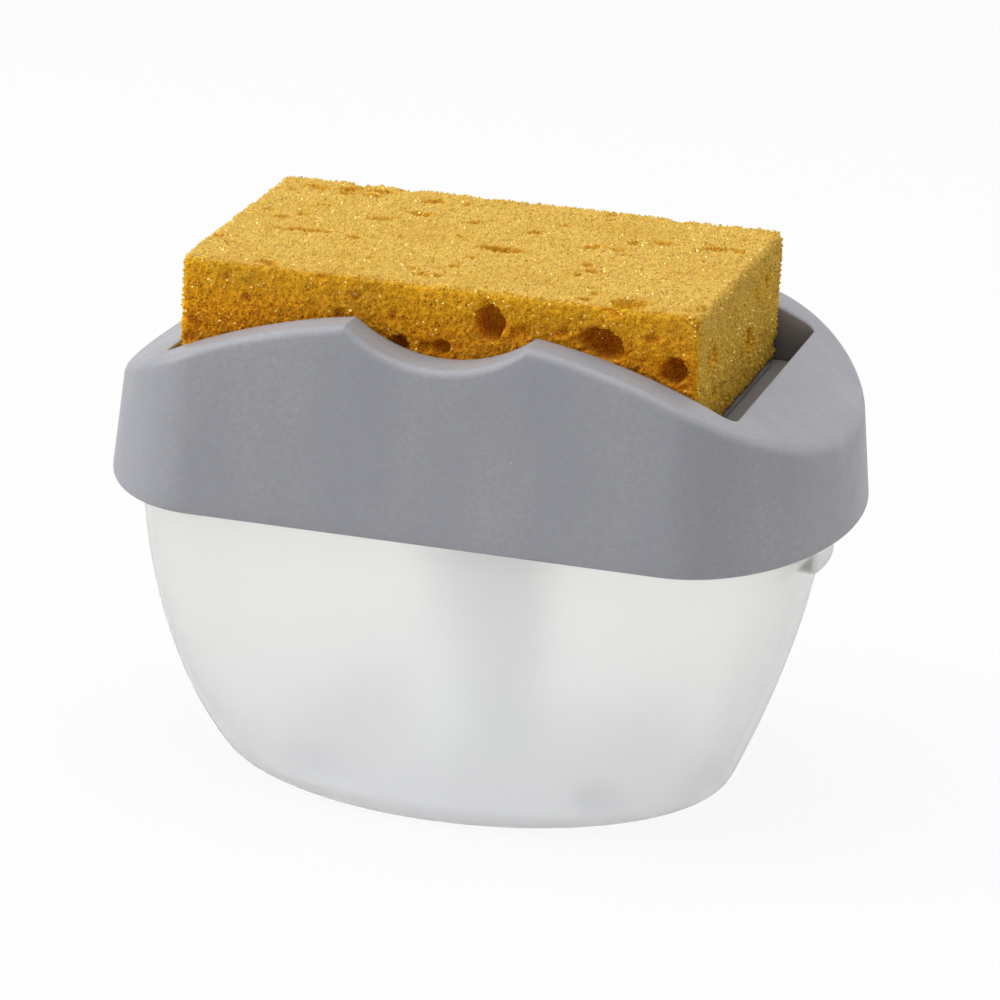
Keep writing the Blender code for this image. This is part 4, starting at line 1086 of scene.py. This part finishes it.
def dress_nodes(material, *nodes):
    """Gives CAD nodes a material."""
    for node in nodes:
        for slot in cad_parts[node].material_slots:
            slot.material = material


# Studio: a pale floor, a soft key light and an even world

CAMERA_TARGET = Vector((0.0, 0.0, 0.060))
CAMERA_AZIMUTH = 15.9475
CAMERA_ELEVATION = 18.5323
CAMERA_DISTANCE = 0.99606
CAMERA_ROLL = 2.3729
CAMERA_LENS = 158.37
CAMERA_SHIFT = (0.01007, 0.0058)
# Name, azimuth and elevation in degrees, distance and width in metres, and power in watts
LAMPS = [
    ("overhead", -60.0, 84.0, 1.4, 1.4, 15.5),
    ("back_right", 125.0, 30.0, 1.5, 0.9, 3.4),
    ("key", -74.0, 24.0, 1.5, 0.9, 12.0),
]
WHITE = (1.0, 1.0, 1.0, 1.0)
FLOOR_GREY = (0.70, 0.70, 0.70, 1.0)
FLOOR_REACH = 4.0
FLOOR_SEGMENTS = 4
# How bright the background is to the rays that show it, the world's light on the object, and
# how much of the floor's colour in those rays is plain white
SHOWN_LEVEL = 1.0
WORLD_LEVEL = 0.45
FLOOR_WHITENING = 0.9


def aimed(azimuth, elevation, distance):
    """Matrix of a camera or lamp that looks at the target from a direction."""
    a = math.radians(azimuth)
    e = math.radians(elevation)
    back = Vector((math.sin(a) * math.cos(e), -math.cos(a) * math.cos(e), math.sin(e)))
    look = (-back).to_track_quat("-Z", "Y").to_matrix().to_4x4()
    return Matrix.Translation(CAMERA_TARGET + back * distance) @ look


def build_camera():
    data = bpy.data.cameras.new("camera")
    data.lens = CAMERA_LENS
    data.shift_x, data.shift_y = CAMERA_SHIFT
    camera = add_object("camera", data)
    roll = Matrix.Rotation(math.radians(CAMERA_ROLL), 4, "Z")
    camera.matrix_world = aimed(CAMERA_AZIMUTH, CAMERA_ELEVATION, CAMERA_DISTANCE) @ roll
    bpy.context.scene.camera = camera


def add_lamp(name, azimuth, elevation, distance, size, power):
    data = bpy.data.lights.new(name, "AREA")
    data.shape = "SQUARE"
    data.size = size
    data.energy = power
    add_object(name, data).matrix_world = aimed(azimuth, elevation, distance)


def shown_ray(tree):
    """1 for the rays that show the background itself: camera, glossy and transmission rays."""
    rays = add_node(tree, "ShaderNodeLightPath").outputs
    shown = math_node(tree, "MAXIMUM", rays["Is Camera Ray"], rays["Is Glossy Ray"])
    return math_node(tree, "MAXIMUM", shown, rays["Is Transmission Ray"])


def build_world():
    world = bpy.data.worlds.new("studio")
    bpy.context.scene.world = world
    world.use_nodes = True
    tree = world.node_tree
    background = tree.nodes["Background"]
    background.inputs["Color"].default_value = WHITE
    strength = mapped(tree, shown_ray(tree), 0.0, 1.0, WORLD_LEVEL, SHOWN_LEVEL)
    tree.links.new(strength, background.inputs["Strength"])


def build_floor():
    bm = bmesh.new()
    bmesh.ops.create_grid(bm, x_segments=FLOOR_SEGMENTS, y_segments=FLOOR_SEGMENTS,
                          size=FLOOR_REACH)
    mesh = mesh_of(bm, "floor")
    floor = add_object("floor", mesh)
    material = bpy.data.materials.new("floor_white")
    material.use_nodes = True
    tree = material.node_tree
    tree.nodes.clear()
    diffuse = add_node(tree, "ShaderNodeBsdfDiffuse", {"Color": FLOOR_GREY})
    glow = add_node(tree, "ShaderNodeEmission", {"Color": WHITE, "Strength": SHOWN_LEVEL})
    share = mapped(tree, shown_ray(tree), 0.0, 1.0, 0.0, FLOOR_WHITENING)
    mix = add_node(tree, "ShaderNodeMixShader", {"Fac": share})
    tree.links.new(diffuse.outputs["BSDF"], mix.inputs[1])
    tree.links.new(glow.outputs["Emission"], mix.inputs[2])
    add_node(tree, "ShaderNodeOutputMaterial", {"Surface": mix.outputs["Shader"]})
    mesh.materials.append(material)


build_camera()
build_holder(holder_grey("holder_grey_satin"))
build_reservoir(frosted("reservoir_frosted", transmission=0.88),
                frosted("tab_frosted", transmission=0.3))
build_spring(wire_steel("spring_steel", roughness=0.28))
build_sponge(sponge_foam())

# The press plate's grey carries painted shade
dress_nodes(holder_grey("plate_grey_painted_shade", painted_shade=PLATE_PAINTED_SHADE), "press_plate")
dress_nodes(plain_plastic("nut_grey", (0.60, 0.61, 0.64), (0.66, 0.67, 0.70), 0.40),
            "retaining_nut")
dress_nodes(plain_plastic("natural_plastic", (0.89, 0.91, 0.93), (0.94, 0.955, 0.965), 0.36),
            "pump_cylinder", "stem_guide", "valve_cage", "pump_stem", "piston", "valve_retainer")
dress_nodes(plain_plastic("clear_silicone", (0.90, 0.91, 0.915), (0.95, 0.955, 0.96), 0.42,
                          IOR=1.35, Transmission_Weight=0.75),
            "foot_front_left", "foot_front_right", "foot_back_left", "foot_back_right",
            "outlet_valve")
dress_nodes(plain_plastic("dark_rubber", (0.07, 0.07, 0.078), (0.12, 0.12, 0.13), 0.72),
            "cylinder_gasket", "stem_wiper", "piston_seal")
dress_nodes(wire_steel("ball_steel", roughness=0.14), "inlet_ball")

build_world()
build_floor()
for lamp in LAMPS:
    add_lamp(*lamp)

bpy.context.scene.view_settings.view_transform = "Standard"
